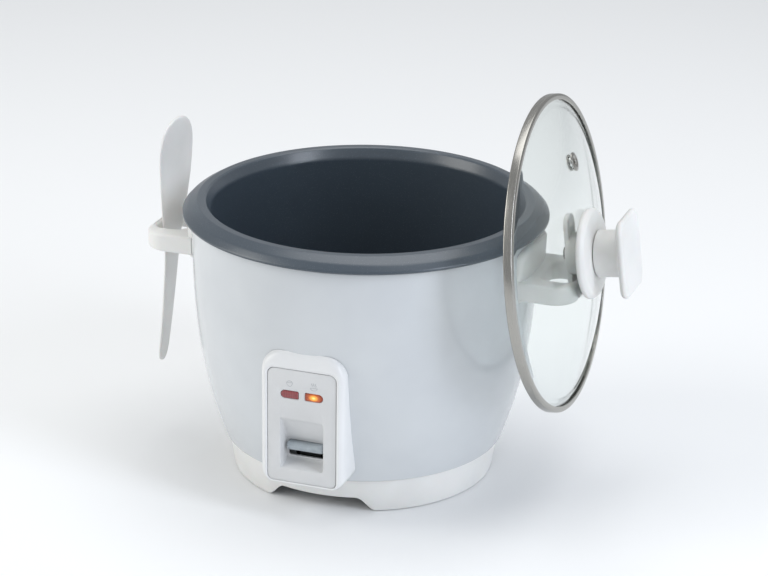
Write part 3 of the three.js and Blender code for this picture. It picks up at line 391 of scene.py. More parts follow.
def turned(name, points, sides=160, steps=5):
    """A piece turned about its Z axis from a closed outline of (radius, height, corner radius) in mm."""
    outline = softened([(r * MM, z * MM, c * MM) for r, z, c in points], steps)
    n, around = len(outline), range(sides)
    vertices = [(p.x * math.cos(2 * math.pi * s / sides), p.x * math.sin(2 * math.pi * s / sides), p.y)
                for s in around for p in outline]
    faces = [(s * n + i, ((s + 1) % sides) * n + i, ((s + 1) % sides) * n + (i + 1) % n, s * n + (i + 1) % n)
             for s in around for i in range(n)
             if outline[i].x > 1e-7 or outline[(i + 1) % n].x > 1e-7]
    made = mesh_object(name, vertices, faces)
    along = [0.0]
    for i in range(n):
        along.append(along[-1] + (outline[(i + 1) % n] - outline[i]).length)
    mean_r = max(p.x for p in outline)
    layer = made.data.uv_layers.new(name="turning")
    for polygon in made.data.polygons:
        start = polygon.vertices[0]
        s, i = divmod(start, n)
        corners = [(s, i), (s + 1, i), (s + 1, i + 1), (s, i + 1)]
        for loop, (cs, ci) in zip(polygon.loop_indices, corners):
            layer.data[loop].uv = (cs / sides * 2 * math.pi * mean_r, along[ci])
    return face_outwards(made)


def baked(made, *modifiers):
    """Adds modifiers, given as (kind, settings), and turns the result into the piece's plain mesh."""
    for kind, settings in modifiers:
        step = made.modifiers.new(kind.lower(), kind)
        for key, value in settings.items():
            setattr(step, key, value)
    graph = bpy.context.evaluated_depsgraph_get()
    plain = bpy.data.meshes.new_from_object(made.evaluated_get(graph))
    made.modifiers.clear()
    made.data = plain
    return made


def boolean(made, operation, *tools):
    """Cuts, joins or trims a piece with other closed objects, which are then removed."""
    for tool in tools:
        baked(made, ("BOOLEAN", {"operation": operation, "object": tool, "solver": "EXACT"}))
        bpy.data.objects.remove(tool)
    return made


def finish(made, material, body, slot, *nodes, place=to_axis, sharp=35):
    """Puts a piece in its place in its own mesh, shades it, and hands it to its body, if it has one."""
    made.data.transform(place)
    made.data.materials.clear()
    made.data.materials.append(material)
    made.data.shade_smooth()
    made.data.set_sharp_from_angle(angle=math.radians(sharp))
    if body:
        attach(made, body)
    if nodes:
        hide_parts(*nodes)
    return made


def rounded_outline(x0, x1, y0, y1, radii, steps=8):
    """A rounded rectangle as points, corners top left, top right, bottom right, bottom left."""
    tl, tr, br, bl = radii
    corners = [(x1 - tr, y1 - tr, tr, 0), (x0 + tl, y1 - tl, tl, 90),
               (x0 + bl, y0 + bl, bl, 180), (x1 - br, y0 + br, br, 270)]
    return [(cx + r * math.cos(math.radians(start + 90 * k / steps)),
             cy + r * math.sin(math.radians(start + 90 * k / steps)))
            for cx, cy, r, start in corners for k in range(steps + 1)]


def plate(name, outlines, low, high, edge, edge_steps=3):
    """A flat plate in mm between two heights from an outline and holes, with rounded edges."""
    curve = bpy.data.curves.new(name, "CURVE")
    curve.dimensions, curve.fill_mode = "2D", "BOTH"
    for points in outlines:
        spline = curve.splines.new("POLY")
        spline.points.add(len(points) - 1)
        for target, (x, y) in zip(spline.points, points):
            target.co = (x * MM, y * MM, 0, 1)
        spline.use_cyclic_u = True
    curve.extrude = ((high - low) / 2 - edge) * MM
    curve.bevel_depth, curve.bevel_resolution, curve.offset = edge * MM, edge_steps, -edge * MM
    drawn = bpy.data.objects.new(name + "_outline", curve)
    bpy.context.scene.collection.objects.link(drawn)
    bpy.context.view_layer.update()
    mesh = bpy.data.meshes.new_from_object(drawn.evaluated_get(bpy.context.evaluated_depsgraph_get()))
    bpy.data.objects.remove(drawn)
    mesh.transform(Matrix.Translation((0, 0, (low + high) / 2 * MM)))
    made = bpy.data.objects.new(name, mesh)
    bpy.context.scene.collection.objects.link(made)
    return face_outwards(made, 1e-6)


def lofted(name, rings, closed=False, caps=True):
    """A skin over rings of matching points, capped at its ends or closed back on its first ring."""
    n, rows = len(rings[0]), len(rings)
    links = range(rows) if closed else range(rows - 1)
    faces = [(r * n + i, r * n + (i + 1) % n, (r + 1) % rows * n + (i + 1) % n, (r + 1) % rows * n + i)
             for r in links for i in range(n)]
    if caps and not closed:
        faces += [tuple(range(n)), tuple(range((rows - 1) * n, rows * n))]
    return face_outwards(mesh_object(name, [v for ring in rings for v in ring], faces))


print("helpers ready")

# %% [markdown]
# ## The enamelled shell
# The shell is drawn from one sheet. Its side is a single easy curve, wide just above the base and
# nearly upright at the top. A Bezier curve with two handles follows the same rule, and the wall's
# thickness is the same curve moved inwards.

# %% Shell
shell_foot_z, shell_top_z = shell_low.z / MM, shell_high.z / MM
shell_top_r = rim_r / MM - 4.6
shell_h = shell_top_z - shell_foot_z
shell_handles = [
    Vector((shell_top_r - 18.9, shell_foot_z)), Vector((shell_top_r - 0.4, shell_foot_z + 0.38 * shell_h)),
    Vector((shell_top_r - 1.8, shell_foot_z + 0.635 * shell_h)), Vector((shell_top_r, shell_top_z))]


def shell_point(t):
    a, b, c, d = shell_handles
    return (1 - t) ** 3 * a + 3 * t * (1 - t) ** 2 * b + 3 * t * t * (1 - t) * c + t ** 3 * d


def shell_radius(z):
    """The shell's outer radius at a height, both in mm."""
    low, high = 0.0, 1.0
    for _ in range(40):
        t = (low + high) / 2
        low, high = (t, high) if shell_point(t).y < z else (low, t)
    return shell_point((low + high) / 2).x


def shell_side(outset, steps=40):
    return [(shell_point(k / steps).x + outset, shell_point(k / steps).y, 0) for k in range(steps + 1)]


wall, flange_r = 1.2, 61
side = shell_side(0)
side[0], side[-1] = (*side[0][:2], 1.2), (*side[-1][:2], 1.1)
shell = turned("outer_shell_skin", [
    (flange_r, shell_foot_z, 0.3), *side, (96.6, shell_top_z, 0.2), (96.6, shell_top_z - wall, 0.2),
    *[(r, z, 0) for r, z, _ in shell_side(-wall)[-2:1:-1]],
    (side[0][0] - wall + 0.4, shell_foot_z + wall, 0.4), (flange_r, shell_foot_z + wall, 0.3)], 192)


def body_tool(outset):
    """The shell's solid outline grown outwards, for trimming what is fixed to it."""
    return turned("trim", [(0, shell_foot_z - 30, 0), (shell_top_r - 18.9 + outset, shell_foot_z - 30, 0),
                           *shell_side(outset, 24), (shell_top_r + outset, shell_top_z + 30, 0),
                           (0, shell_top_z + 30, 0)], 192)


def box_tool(x0, x1, y0, y1, z0, z1):
    return plate("tool", [[(x0, y0), (x1, y0), (x1, y1), (x0, y1)]], z0, z1, 0)


boolean(shell, "DIFFERENCE", box_tool(-9, 9, -110, -66, 29.6, 49), box_tool(-14, 14, -110, -80, 72, 85),
        box_tool(-15.5, 15.5, 60, 110, 24.6, 39))
finish(shell, enamel, "base", "white_body", "outer_shell")
print("shell faces:", len(shell.data.polygons))

# %% [markdown]
# ## The pot
# The pot is drawn aluminium with a rolled rim: a flat crest round the mouth, a gently crowned slope
# outside it, and a small upright lip. The crest catches the light, so its two edges stay crisp.

# %% Pot
crest_z, pot_floor_z = pot_high.z / MM, pot_low.z / MM
mouth_r, crest_r, pot_t = 91.5, 96.5, 1.6
foot_r = mouth_r - 3.6
pot = turned("coated_pot", [
    (0, pot_floor_z + pot_t, 0), (foot_r, pot_floor_z + pot_t, 18), (88.6, crest_z - 6, 6),
    (mouth_r, crest_z - 0.6, 1.2), (mouth_r + 1, crest_z, 0.8), (crest_r, crest_z, 1.4),
    (101.9, crest_z - 3.1, 7), (rim_r / MM, crest_z - 6.4, 1.6), (rim_r / MM, crest_z - 7.8, 0.6),
    (rim_r / MM - pot_t, crest_z - 7.8, 0.6), (rim_r / MM - pot_t, crest_z - 7.2, 0.8),
    (crest_r - 0.9, crest_z - pot_t, 1.5), (mouth_r + pot_t, crest_z - pot_t, 1),
    (88.6 + pot_t, crest_z - 6.6, 6), (foot_r + pot_t, pot_floor_z, 19.6), (0, pot_floor_z, 0)], 192, 8)
finish(pot, nonstick, "pot", "nonstick", "inner_pot")
print("pot faces:", len(pot.data.polygons))

# %% [markdown]
# ## The base
# The base ring is moulded. Its lower edge lifts into two finger arches, front and back, and what is
# left are the two wide feet. Each slice round the ring is the same outline, with its foot raised by
# how far under an arch it lies.

# %% Base ring
base_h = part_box("base_ring")[1].z / MM
foot_outer, top_outer, arch_h = 76.0, 79.4, 8.0


def arch_lift(x):
    """Height of the arch over the table at a distance from the middle, in mm."""
    share = min(max((33 - abs(x)) / 11, 0), 1)
    return arch_h * share * share * (3 - 2 * share)


base_outline = softened([(71, 0, 0.6), (foot_outer, 0, 0.9), (top_outer, base_h, 0.9), (76.9, base_h, 0.4),
                         (75.1, 10, 0.3), (71, 10, 0.4)], 4)
slices = 288
rings = []
for s in range(slices):
    angle = 2 * math.pi * s / slices
    ring = []
    for p in base_outline:
        lift = arch_lift(p.x * math.cos(angle)) if p.y < 2 else 0
        ring.append((p.x * MM * math.cos(angle), p.x * MM * math.sin(angle), (p.y + lift) * MM))
    rings.append(ring)
base = lofted("base_moulding", rings, closed=True)
bosses = []
for angle in (90, 210, 330):
    turn = Matrix.Rotation(math.radians(angle), 4, "Z")
    boss = turned("boss", [(1.9, 11.9, 0), (4, 11.9, 0.4), (4, base_h - 0.05, 0.3),
                           (1.9, base_h - 0.05, 0)], 32)
    boss.data.transform(turn @ Matrix.Translation((65 * MM, 0, 0)))
    web = box_tool(68.4, 76.6, -1.25, 1.25, 12, 17.6)
    web.data.transform(turn)
    bosses += [boss, web]
boolean(base, "UNION", *bosses)
finish(base, polypropylene, "base", "white_plastic", "base_ring")
print("base faces:", len(base.data.polygons))

# %% [markdown]
# ## The side handles
# Each handle is one moulding: a flat bar with a slot for the lid's hook or the paddle, on a root
# pad that hugs the enamel up to just under the rim. The bar is a drawn outline with a hole, given
# thickness and rounded edges. The pad is made of rings that follow the shell's own radius, so it
# fits the curve everywhere, and its edge is a quarter round.

# %% Handles
_, handle_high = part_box("right_handle")
handle_end = (handle_high.x - axis_x) / MM
handle_top = shell_top_z - 20
handle_bottom, handle_half, corner_r = handle_top - 11, handle_high.y / MM, 13
slot_in, slot_out, slot_half = shell_top_r + 7.6, handle_end - 3.2, 15.5
air = 0.3


def on_shell(y, z, lift):
    """The point over the shell at a breadth and height, lifted off it along the radius, in metres."""
    radius = shell_radius(z) + lift
    return (math.sqrt(max(radius ** 2 - y ** 2, 1)) * MM, y * MM, z * MM)


def root_pad(name):
    def ring(inset, lift):
        half, low, high = handle_half - 1 - inset, handle_bottom - 3 + inset, shell_top_z - 3.5 - inset
        radii = [max(r - inset, 0.3) for r in (9, 9, 5, 5)]
        return [on_shell(y, z, lift) for y, z in rounded_outline(-half, half, low, high, radii, 8)]

    thick, round_r, across = 4.0, 3.0, (6, 9, 12, 14.8)
    quarter = [(round_r * (1 - math.cos(a)), thick - round_r + round_r * math.sin(a))
               for a in (math.pi / 2 * k / 5 for k in range(6))]
    front = [ring(inset, lift) for inset, lift in quarter] + [ring(inset, thick) for inset in across]
    rear = [ring(inset, air) for inset in (14.8, 9, 3, 0)]
    return lofted(name, rear + front)


def side_handle(name, sign, *nodes):
    bar = plate(name, [rounded_outline(shell_top_r - 12, handle_end, -handle_half, handle_half,
                                       [3, corner_r, corner_r, 3], 12),
                       rounded_outline(slot_in, slot_out, -slot_half, slot_half, [6, 6, 6, 6], 8)[::-1]],
                handle_bottom, handle_top, 1.8, 4)
    boolean(bar, "DIFFERENCE", body_tool(air + 1.5))
    boolean(bar, "UNION", root_pad("root"))
    if sign < 0:
        bar.data.transform(Matrix.Rotation(math.pi, 4, "Z"))
    return finish(bar, polypropylene, "base", "white_plastic", *nodes)


for grip, sign, node in (("right_grip", 1, "right_handle"), ("left_grip", -1, "left_handle")):
    handle = side_handle(grip, sign, node)
    print(grip, "faces:", len(handle.data.polygons))

# %% [markdown]
# ## The control panel
# The bezel stands straight out from the shell with a soft rounded front, so its sides are deeper
# low down, where the shell curves away. It is a skin of rings from the window in its front, over
# the rounded edge, back to the shell, and forward again inside. The matt face plate sits in it
# behind a fine groove.

# %% Bezel
bezel_low, bezel_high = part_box("panel_bezel")
bezel_z0, bezel_z1 = bezel_low.z / MM, bezel_high.z / MM
bezel_half = (bezel_high.x - bezel_low.x) / 2 / MM
panel_y = bezel_low.y / MM
face_low, face_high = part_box("panel_face")
face_z0, face_z1, face_half = face_low.z / MM, face_high.z / MM, (face_high.x - face_low.x) / 2 / MM


def bezel_ring(inset, depth, foot=0.2):
    """The bezel's outline moved in, at a depth behind its front, in mm, or at its place on the shell.

    It moves in most at the top, where the front rolls back furthest, and least at the foot.
    """
    side, top = 0.7 * inset, 1.6 * inset
    radii = [max(r, 1.5) for r in (12 - top, 12 - top, 8 - side, 8 - side)]
    points = rounded_outline(-bezel_half + side, bezel_half - side, bezel_z0 + foot * inset, bezel_z1 - top,
                             radii, 10)
    ring = []
    for x, z in points:
        radius = shell_radius(min(max(z, shell_foot_z), shell_top_z)) + air
        room = -math.sqrt(radius ** 2 - x * x) - panel_y
        back = room if depth is None else min(depth, room * 0.96)
        ring.append((x * MM, (panel_y + back) * MM, z * MM))
    return ring


def window_ring(grow, depth):
    radii = [max(r + grow, 0.6) for r in (4, 4, 3, 3)]
    points = rounded_outline(-face_half - grow, face_half + grow, face_z0 - grow, face_z1 + grow, radii, 10)
    return [(x * MM, (panel_y + depth) * MM, z * MM) for x, z in points]


edge_r = 5.0
quarter = [(math.pi / 2) * k / 8 for k in range(9)]
front_edge = [bezel_ring(edge_r * (1 - math.sin(a)), edge_r * (1 - math.cos(a))) for a in quarter]
bezel = lofted("bezel_moulding", [
    window_ring(air, 3.4), window_ring(air, 0.7), window_ring(air + 0.15, 0.35), window_ring(air + 0.6, 0.12),
    *front_edge, bezel_ring(0, None), bezel_ring(2.0, None, 0.45), bezel_ring(2.2, 4.2, 0.45),
    window_ring(0.6, 3.4)], closed=True)
finish(bezel, bezel_abs, "base", "white_plastic", "panel_bezel", sharp=50)
print("bezel faces:", len(bezel.data.polygons))

# %% [markdown]
# ## The face plate and its finger scoop
# The scoop is a hollow that slopes in from its top edge to the lever's slot and rises again below
# it, with nearly upright sides. That is a depth for every point of a grid, which is then given a
# wall and joined to the flat plate round it.

# %% Face plate
pocket_half, pocket_z0, pocket_z1, pocket_deep = 12.7, face_z0 + 7.8, face_z0 + 38.2, 8.5
slot_z0, slot_z1 = pocket_z0 + 4.9, pocket_z0 + 14.4
face_y = panel_y + 0.5
lens_z, lens_off, lens_w, lens_h = lens_mid.z / MM, 7.15, 10.5, 4.6
profile = [(pocket_z0, 0.0), (pocket_z0 + 0.5, 1.1), (slot_z0 - 1.9, 7.6), (slot_z0 - 0.9, pocket_deep),
           (slot_z1 + 0.8, pocket_deep), (slot_z1 + 2.0, 7.6), (pocket_z1 - 1.6, 1.4), (pocket_z1, 0.0)]


def scoop_depth(x, z):
    """Depth of the scoop behind the plate's front at a point, in mm."""
    depth = 0.0
    for (z0, d0), (z1, d1) in zip(profile, profile[1:]):
        if z0 <= z <= z1:
            depth = d0 + (d1 - d0) * (z - z0) / (z1 - z0)
    side = min(max((pocket_half - abs(x)) / 1.1, 0), 1)
    return depth * math.sin(side * math.pi / 2) ** 0.8


def scoop_skin(name):
    margin, cols, rows, thick, sunk = 0.5, 64, 84, 1.3, 0.5
    xs = [-pocket_half - margin + (2 * pocket_half + 2 * margin) * i / cols for i in range(cols + 1)]
    zs = [pocket_z0 - margin + (pocket_z1 - pocket_z0 + 2 * margin) * k / rows for k in range(rows + 1)]

    def sheet(behind):
        return [(x * MM, (face_y + sunk + behind + max(scoop_depth(x, z) - sunk, 0)) * MM, z * MM)
                for z in zs for x in xs]

    front, rear, w = sheet(0), sheet(thick), cols + 1
    count = len(front)
    cells = [(k * w + i, k * w + i + 1, (k + 1) * w + i + 1, (k + 1) * w + i)
             for k in range(rows) for i in range(cols)]
    border = ([i for i in range(cols)] + [k * w + cols for k in range(rows)]
              + [rows * w + cols - i for i in range(cols)] + [(rows - k) * w for k in range(rows)])
    walls = [(a, b, b + count, a + count) for a, b in zip(border, border[1:] + border[:1])]
    behind = [tuple(v + count for v in cell) for cell in cells]
    return face_outwards(mesh_object(name, front + rear, cells + behind + walls))


def pill(side, clear):
    """A lens outline: round at its outer end, nearly square at its inner one."""
    w, h = lens_w / 2 + clear, lens_h / 2 + clear
    outer, inner = h - 0.02, 0.8
    radii = [outer, inner, inner, outer] if side < 0 else [inner, outer, outer, inner]
    return rounded_outline(side * lens_off - w, side * lens_off + w, lens_z - h, lens_z + h, radii, 8)


# The plate is drawn flat and stood up: its height runs up the panel and its thickness goes in.
stand = Matrix(((1, 0, 0, 0), (0, 0, -1, 0), (0, 1, 0, 0), (0, 0, 0, 1)))


def standing(name, outlines, front, thick, edge, steps=2):
    made = plate(name, outlines, -front - thick, -front, edge, steps)
    made.data.transform(stand)
    return face_outwards(made)


face = standing("face_moulding", [
    rounded_outline(-face_half, face_half, face_z0, face_z1, [4, 4, 3, 3], 8),
    pill(-1, 0.1)[::-1], pill(1, 0.1)[::-1],
    rounded_outline(-pocket_half, pocket_half, pocket_z0, pocket_z1, [0.8, 2.4, 2.4, 0.8], 6)[::-1]],
    face_y, 2.2, 0.35)
boolean(face, "UNION", scoop_skin("scoop"))
boolean(face, "DIFFERENCE", standing("slot", [rounded_outline(-11, 11, slot_z0, slot_z1, [1.5] * 4, 5)],
                                     face_y + 3, 12, 0))
finish(face, face_abs, "base", "panel_plastic", "panel_face", sharp=40)
print("face plate faces:", len(face.data.polygons))


# %% Lenses and printed symbols
def lens(name, side, material, slot, node):
    """A slightly domed pill that stands a little proud of the plate."""
    levels = [(0.0, 2.2), (0.0, 0.15), (0.12, 0.0), (0.5, -0.09), (1.1, -0.15), (1.8, -0.18), (2.25, -0.19)]
    rings = [[(x * MM, (face_y + depth) * MM, z * MM) for x, z in pill(side, -0.15 - inset)]
             for inset, depth in levels]
    return finish(lofted(name, rings), material, "base", slot, node, sharp=60)


lens("cook_window", -1, red_lens, "red_lens", "cook_lens")
lens("warm_window", 1, amber_lens, "amber_lens", "warm_lens")


def printed(name, strokes, x, z, width=0.24):
    """Thin raised ink lines in the panel's plane, given in mm about a middle point."""
    curve = bpy.data.curves.new(name, "CURVE")
    curve.dimensions, curve.bevel_depth, curve.bevel_resolution = "3D", width / 2 * MM, 1
    for points in strokes:
        spline = curve.splines.new("POLY")
        spline.points.add(len(points) - 1)
        for target, (a, b) in zip(spline.points, points):
            target.co = ((x + a) * MM, (face_y + 0.02) * MM, (z + b) * MM, 1)
    drawn = bpy.data.objects.new(name + "_line", curve)
    bpy.context.scene.collection.objects.link(drawn)
    bpy.context.view_layer.update()
    mesh = bpy.data.meshes.new_from_object(drawn.evaluated_get(bpy.context.evaluated_depsgraph_get()))
    bpy.data.objects.remove(drawn)
    made = bpy.data.objects.new(name, mesh)
    bpy.context.scene.collection.objects.link(made)
    bmesh_fill(made)
    return finish(made, grey_ink, "base", "panel_plastic")


def bmesh_fill(made):
    """Closes the open ends of swept lines."""
    work = bmesh.new()
    work.from_mesh(made.data)
    bmesh.ops.holes_fill(work, edges=work.edges, sides=0)
    bmesh.ops.recalc_face_normals(work, faces=work.faces)
    work.to_mesh(made.data)
    work.free()


def bow(cx, cz, rx, rz, start, end, steps=14):
    return [(cx + rx * math.cos(math.radians(start + (end - start) * k / steps)),
             cz + rz * math.sin(math.radians(start + (end - start) * k / steps))) for k in range(steps + 1)]


symbol_z = lens_z + 6.4
pan = [(-2.0, 0.9), (2.0, 0.9)], bow(0, 0.9, 1.7, 2.3, 180, 360), bow(0, 1.0, 1.5, 0.9, 0, 180)
printed("cook_symbol", pan, -lens_off, symbol_z)
waves = [[(dx + 0.28 * math.sin(k * 0.9), 0.2 + 0.3 * k) for k in range(8)] for dx in (-1.1, 0, 1.1)]
bowl = bow(0, -0.5, 2.0, 1.5, 180, 360), [(-2.0, -0.5), (2.0, -0.5)]
printed("warm_symbol", [*waves, *bowl], lens_off, symbol_z)
print("symbols printed")

# %% [markdown]
# ## The cook lever
# The cap is a short bar with a rounded nose. Its lower front leans back, so it falls into shade over
# the black gap it travels through.

# %% Lever cap
cap_low, cap_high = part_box("lever_cap")
cap_front, cap_back = cap_low.y / MM, cap_high.y / MM
cap_z0, cap_z1, cap_half = cap_low.z / MM, cap_high.z / MM, (cap_high.x - cap_low.x) / 2 / MM
nose = softened([(cap_back, cap_z0, 0.4), (cap_back, cap_z1, 0.6), (cap_front + 0.9, cap_z1, 1.6),
                 (cap_front, cap_z1 - 1.9, 0.7), (cap_front + 1.1, cap_z0, 0.8)], 6)
centre = Vector(((cap_front + cap_back) / 2, (cap_z0 + cap_z1) / 2))


def nose_ring(x, share):
    return [(x * MM, (centre.x + (p.x - centre.x) * share) * MM, (centre.y + (p.y - centre.y) * share) * MM)
            for p in nose]


end_round = [(1.2 * (1 - math.cos(a)), 1 - 0.16 * (1 - math.sin(a)))
             for a in (math.pi / 2 * k / 5 for k in range(6))]
half_rings = [nose_ring(cap_half - inset, share) for inset, share in end_round]
cap = lofted("lever_nose", half_rings + [[(-x, y, z) for x, y, z in ring] for ring in half_rings[::-1]])
finish(cap, lever_abs, "lever", "grey_plastic", "lever_cap", sharp=45)
print("lever cap faces:", len(cap.data.polygons))

# %% [markdown]
# ## The hung lid
# The lid is drawn flat about its own axis and then hung: its rim plane stands on edge and leans a
# little towards the pot. The place is read from the ring of the working model. The glass is a
# shallow dome of one radius, the ring a rolled channel round its edge.

# %% Lid ring, glass and eyelet
lean = math.radians(7.5)
ring_low, ring_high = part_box("lid_ring")
skirt, lid_r = 5.4, mouth_r - 2
hang = Vector(((ring_low.x + ring_high.x) / 2 + skirt / 2 * MM * math.cos(lean), 0,
               (ring_low.z + ring_high.z) / 2 + skirt / 2 * MM * math.sin(lean)))
to_lid = Matrix.Translation(hang) @ Matrix.Rotation(math.pi / 2 - lean, 4, "Y")
dome_foot_r, dome_h, rise, glass_t = lid_r - 5.3, 16.1, 15, 3
dome_r = (dome_foot_r ** 2 + dome_h ** 2) / (2 * dome_h)


def dome(r):
    return rise - dome_r + math.sqrt(dome_r ** 2 - r ** 2)


ring = turned("rolled_lid_ring", [
    (lid_r - 3.3, -0.8, 0.2), (lid_r - 3.3, 0, 0.3), (lid_r - 1.3, 0.0, 0.8), (lid_r, -0.5, 0.7),
    (lid_r, -skirt + 0.5, 0.7),
    (lid_r - 1.0, -skirt, 0.5), (lid_r - 3.3, -skirt, 0.3), (lid_r - 3.3, -skirt + 0.8, 0.2),
    (lid_r - 0.9, -skirt + 0.8, 0.3), (lid_r - 0.9, -0.8, 0.2)], 256)
finish(ring, stainless, "lid", "stainless", "lid_ring", place=to_lid)

glass_edge = lid_r - 1.1
outer_dome = [(dome_foot_r * k / 28, dome(dome_foot_r * k / 28), 0) for k in range(29)]
glass = turned("domed_glass", [
    *outer_dome, (glass_edge - 3, -1.1, 2), (glass_edge, -1.1, 0.6), (glass_edge, -1.1 - glass_t, 0.6),
    *[(r, z - glass_t, 0) for r, z, _ in outer_dome[::-1]]], 192)
vent_r, vent_turn = 51.6, math.radians(-8.9)
to_vent = (Matrix.Rotation(vent_turn, 4, "Z") @ Matrix.Translation((-vent_r * MM, 0, dome(vent_r) * MM))
           @ Matrix.Rotation(-math.asin(vent_r / dome_r), 4, "Y"))
hole = turned("tool", [(0, -8, 0), (3.3, -8, 0), (3.3, 8, 0), (0, 8, 0)], 48)
hole.data.transform(to_vent)
boolean(glass, "DIFFERENCE", hole)
finish(glass, tempered_glass, "lid", "glass", "lid_glass", place=to_lid, sharp=50)

eyelet = turned("vent_grommet", [
    (1.7, -4.2, 0.3), (4.6, -4.2, 0.3), (4.6, -3.4, 0.3), (3, -3.4, 0.2), (3, 0.5, 0.2), (5.4, 0.5, 0.3),
    (5.3, 1.2, 0.5), (3.4, 1.5, 0.9), (1.9, 1.0, 0.5), (1.7, 0.2, 0.4)], 64)
eyelet.data.transform(to_vent)
finish(eyelet, stainless, "lid", "stainless", "vent_eyelet", place=to_lid)
print("glass faces:", len(glass.data.polygons))

# %% [markdown]
# ## Knob and hanger
# Outside the glass stand a rounded flange, a short neck and a rounded square head, dished a little
# for the palm. Inside it, the hanger's blade drops in the handle's slot, and its boss sits on the
# bar. One screw through the glass holds them all.

# %% Knob
flange_low, flange_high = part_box("knob_base")
rim = (flange_high.y - flange_low.y) / 2 / MM
flange = turned("knob_flange", [
    (2.3, 15.5, 0), (14, 15.2, 1), (rim - 3, dome(rim - 3) + 0.9, 1.5), (rim, dome(rim) + 2.0, 1.3),
    (rim, 17.9, 2.2), (rim - 1.8, 20.3, 2.5), (15, 21.5, 3), (2.3, 21.5, 0)], 128, 6)
finish(flange, polypropylene, "lid", "white_plastic", "knob_base", place=to_lid)

head_low, head_high, head_long, head_wide, head_corner = 37, 41, 22.5, 18.5, 7.5


def head_ring(inset, height):
    along, across, corner = head_long - inset, head_wide - inset, max(head_corner - inset, 0.3)
    return [(x * MM, y * MM, height * MM)
            for x, y in rounded_outline(-along, along, -across, across, [corner] * 4, 8)]


edge_round = 1.8
head_edge = [(edge_round * (1 - math.cos(a)), head_high - edge_round * (1 - math.sin(a)))
             for a in (math.pi / 2 * k / 5 for k in range(6))]
dished = [(inset, head_high - 0.9 * min(1, (inset - edge_round) / 8)) for inset in (3, 5, 8, 11, 15, 18.1)]
under = [(18.1, head_low), (8, head_low), (2.2, head_low), (0.9, head_low + 0.4), (0.2, head_low + 1.2)]
head = lofted("head", [head_ring(inset, height) for inset, height in under + head_edge + dished])
knob = turned("knob_neck_and_head", [
    (2.3, 21.9, 0), (13.3, 21.9, 0.6), (13.3, 35.2, 1.2), (14.9, head_low + 1, 0.4),
    (2.3, head_low + 1, 0)], 96)
boolean(knob, "UNION", head)
finish(knob, polypropylene, "lid", "white_plastic", "knob_grip", place=to_lid)

blade_low = 3.06
blade_outline = rounded_outline(-23, 23, -7, 7, [6.6] * 4, 10)
blade = plate("hook_blade", [blade_outline], blade_low, blade_low + 2.6, 0.5, 3)
boss_r = (hang.z / MM + 9.5 * math.sin(lean) - handle_top - air) / math.cos(lean) - 0.1
boss_top = dome(13.3) - glass_t - air
boss = turned("boss", [(2.3, blade_low + 1, 0), (boss_r, blade_low + 1, 0.2), (boss_r, boss_top, 0.6),
                       (2.3, boss_top, 0)], 96)
boolean(blade, "UNION", boss)
boolean(blade, "DIFFERENCE", box_tool(boss_r - 0.9, 40, -40, 40, blade_low + 2.6, boss_top + 1),
        turned("tool", [(0, 0, 0), (2.3, 0, 0), (2.3, 20, 0), (0, 20, 0)], 32))
finish(blade, polypropylene, "lid", "white_plastic", "lid_hanger", place=to_lid)
print("knob and hanger faces:", len(knob.data.polygons), len(blade.data.polygons))

# %% [markdown]
# ## The rice paddle
# One thin moulding: a rounded spoon blade that narrows to a flat grip. It stands in the left slot
# and leans in a shallow curve. Its sections are flat ovals along that curve, a little hollow across
# the blade, and the ends are closed by sections that shrink to nothing.

# %% Paddle
paddle_low, paddle_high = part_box("rice_paddle")
paddle_z0, paddle_z1 = paddle_low.z / MM, paddle_high.z / MM
paddle_x = -(slot_in + slot_out) / 2
lean_line = [Vector((paddle_x - 12.2, paddle_z0)), Vector((paddle_x - 2.2, paddle_z0 + 73)),
             Vector((paddle_x - 1.1, paddle_z1))]
breadths = [(0, 0.6), (0.004, 2.2), (0.012, 4.0), (0.03, 5.4), (0.06, 6.3), (0.25, 7.8), (0.42, 9.2),
            (0.53, 11.3), (0.59, 14), (0.64, 16.9), (0.7, 19.3), (0.76, 21.4), (0.82, 22.8), (0.87, 23.4),
            (0.9, 23.2), (0.93, 21.8), (0.96, 18.8), (0.98, 14.8), (0.99, 11.0), (0.997, 6.0), (1, 0.6)]


def breadth(t):
    """Half the paddle's breadth at a share of its length, eased between the listed sections."""
    for (t0, b0), (t1, b1) in zip(breadths, breadths[1:]):
        if t <= t1:
            return b0 + (b1 - b0) * (t - t0) / (t1 - t0)
    return breadths[-1][1]


def paddle_ring(t, steps=32):
    a, b, c = lean_line
    middle = (1 - t) ** 2 * a + 2 * t * (1 - t) * b + t * t * c
    half, thick = breadth(t), 1.15
    hollow = 1.1 * min(max((t - 0.6) / 0.15, 0), 1) * min((1 - t) / 0.08, 1)
    ring = []
    for k in range(steps):
        angle = 2 * math.pi * k / steps
        y = half * math.copysign(abs(math.cos(angle)) ** 0.75, math.cos(angle))
        x = thick * math.copysign(abs(math.sin(angle)) ** 0.6, math.sin(angle))
        bend = hollow * ((y / max(half, 1)) ** 2 - 0.5)
        ring.append(((middle.x + x * min(1, half / 2) + bend) * MM, y * MM, middle.y * MM))
    return ring


stations = sorted({t for t, _ in breadths} | {k / 60 for k in range(61)})
paddle = lofted("spoon_paddle", [paddle_ring(t) for t in stations])
baked(paddle, ("SMOOTH", {"factor": 0.5, "iterations": 3}))
finish(paddle, polypropylene, "paddle", "white_plastic", "rice_paddle", sharp=60)
print("paddle faces:", len(paddle.data.polygons))

# %% [markdown]
# ## Underneath
# The bottom cover is a pressed disc with a ring of vent slots, held by three cross-head screws.
# Both repeat round the axis, so Geometry Nodes place them: the tree spreads one shape on the points
# of a circle, turned to face out, and makes the copies real. The slots are then cut from the disc.


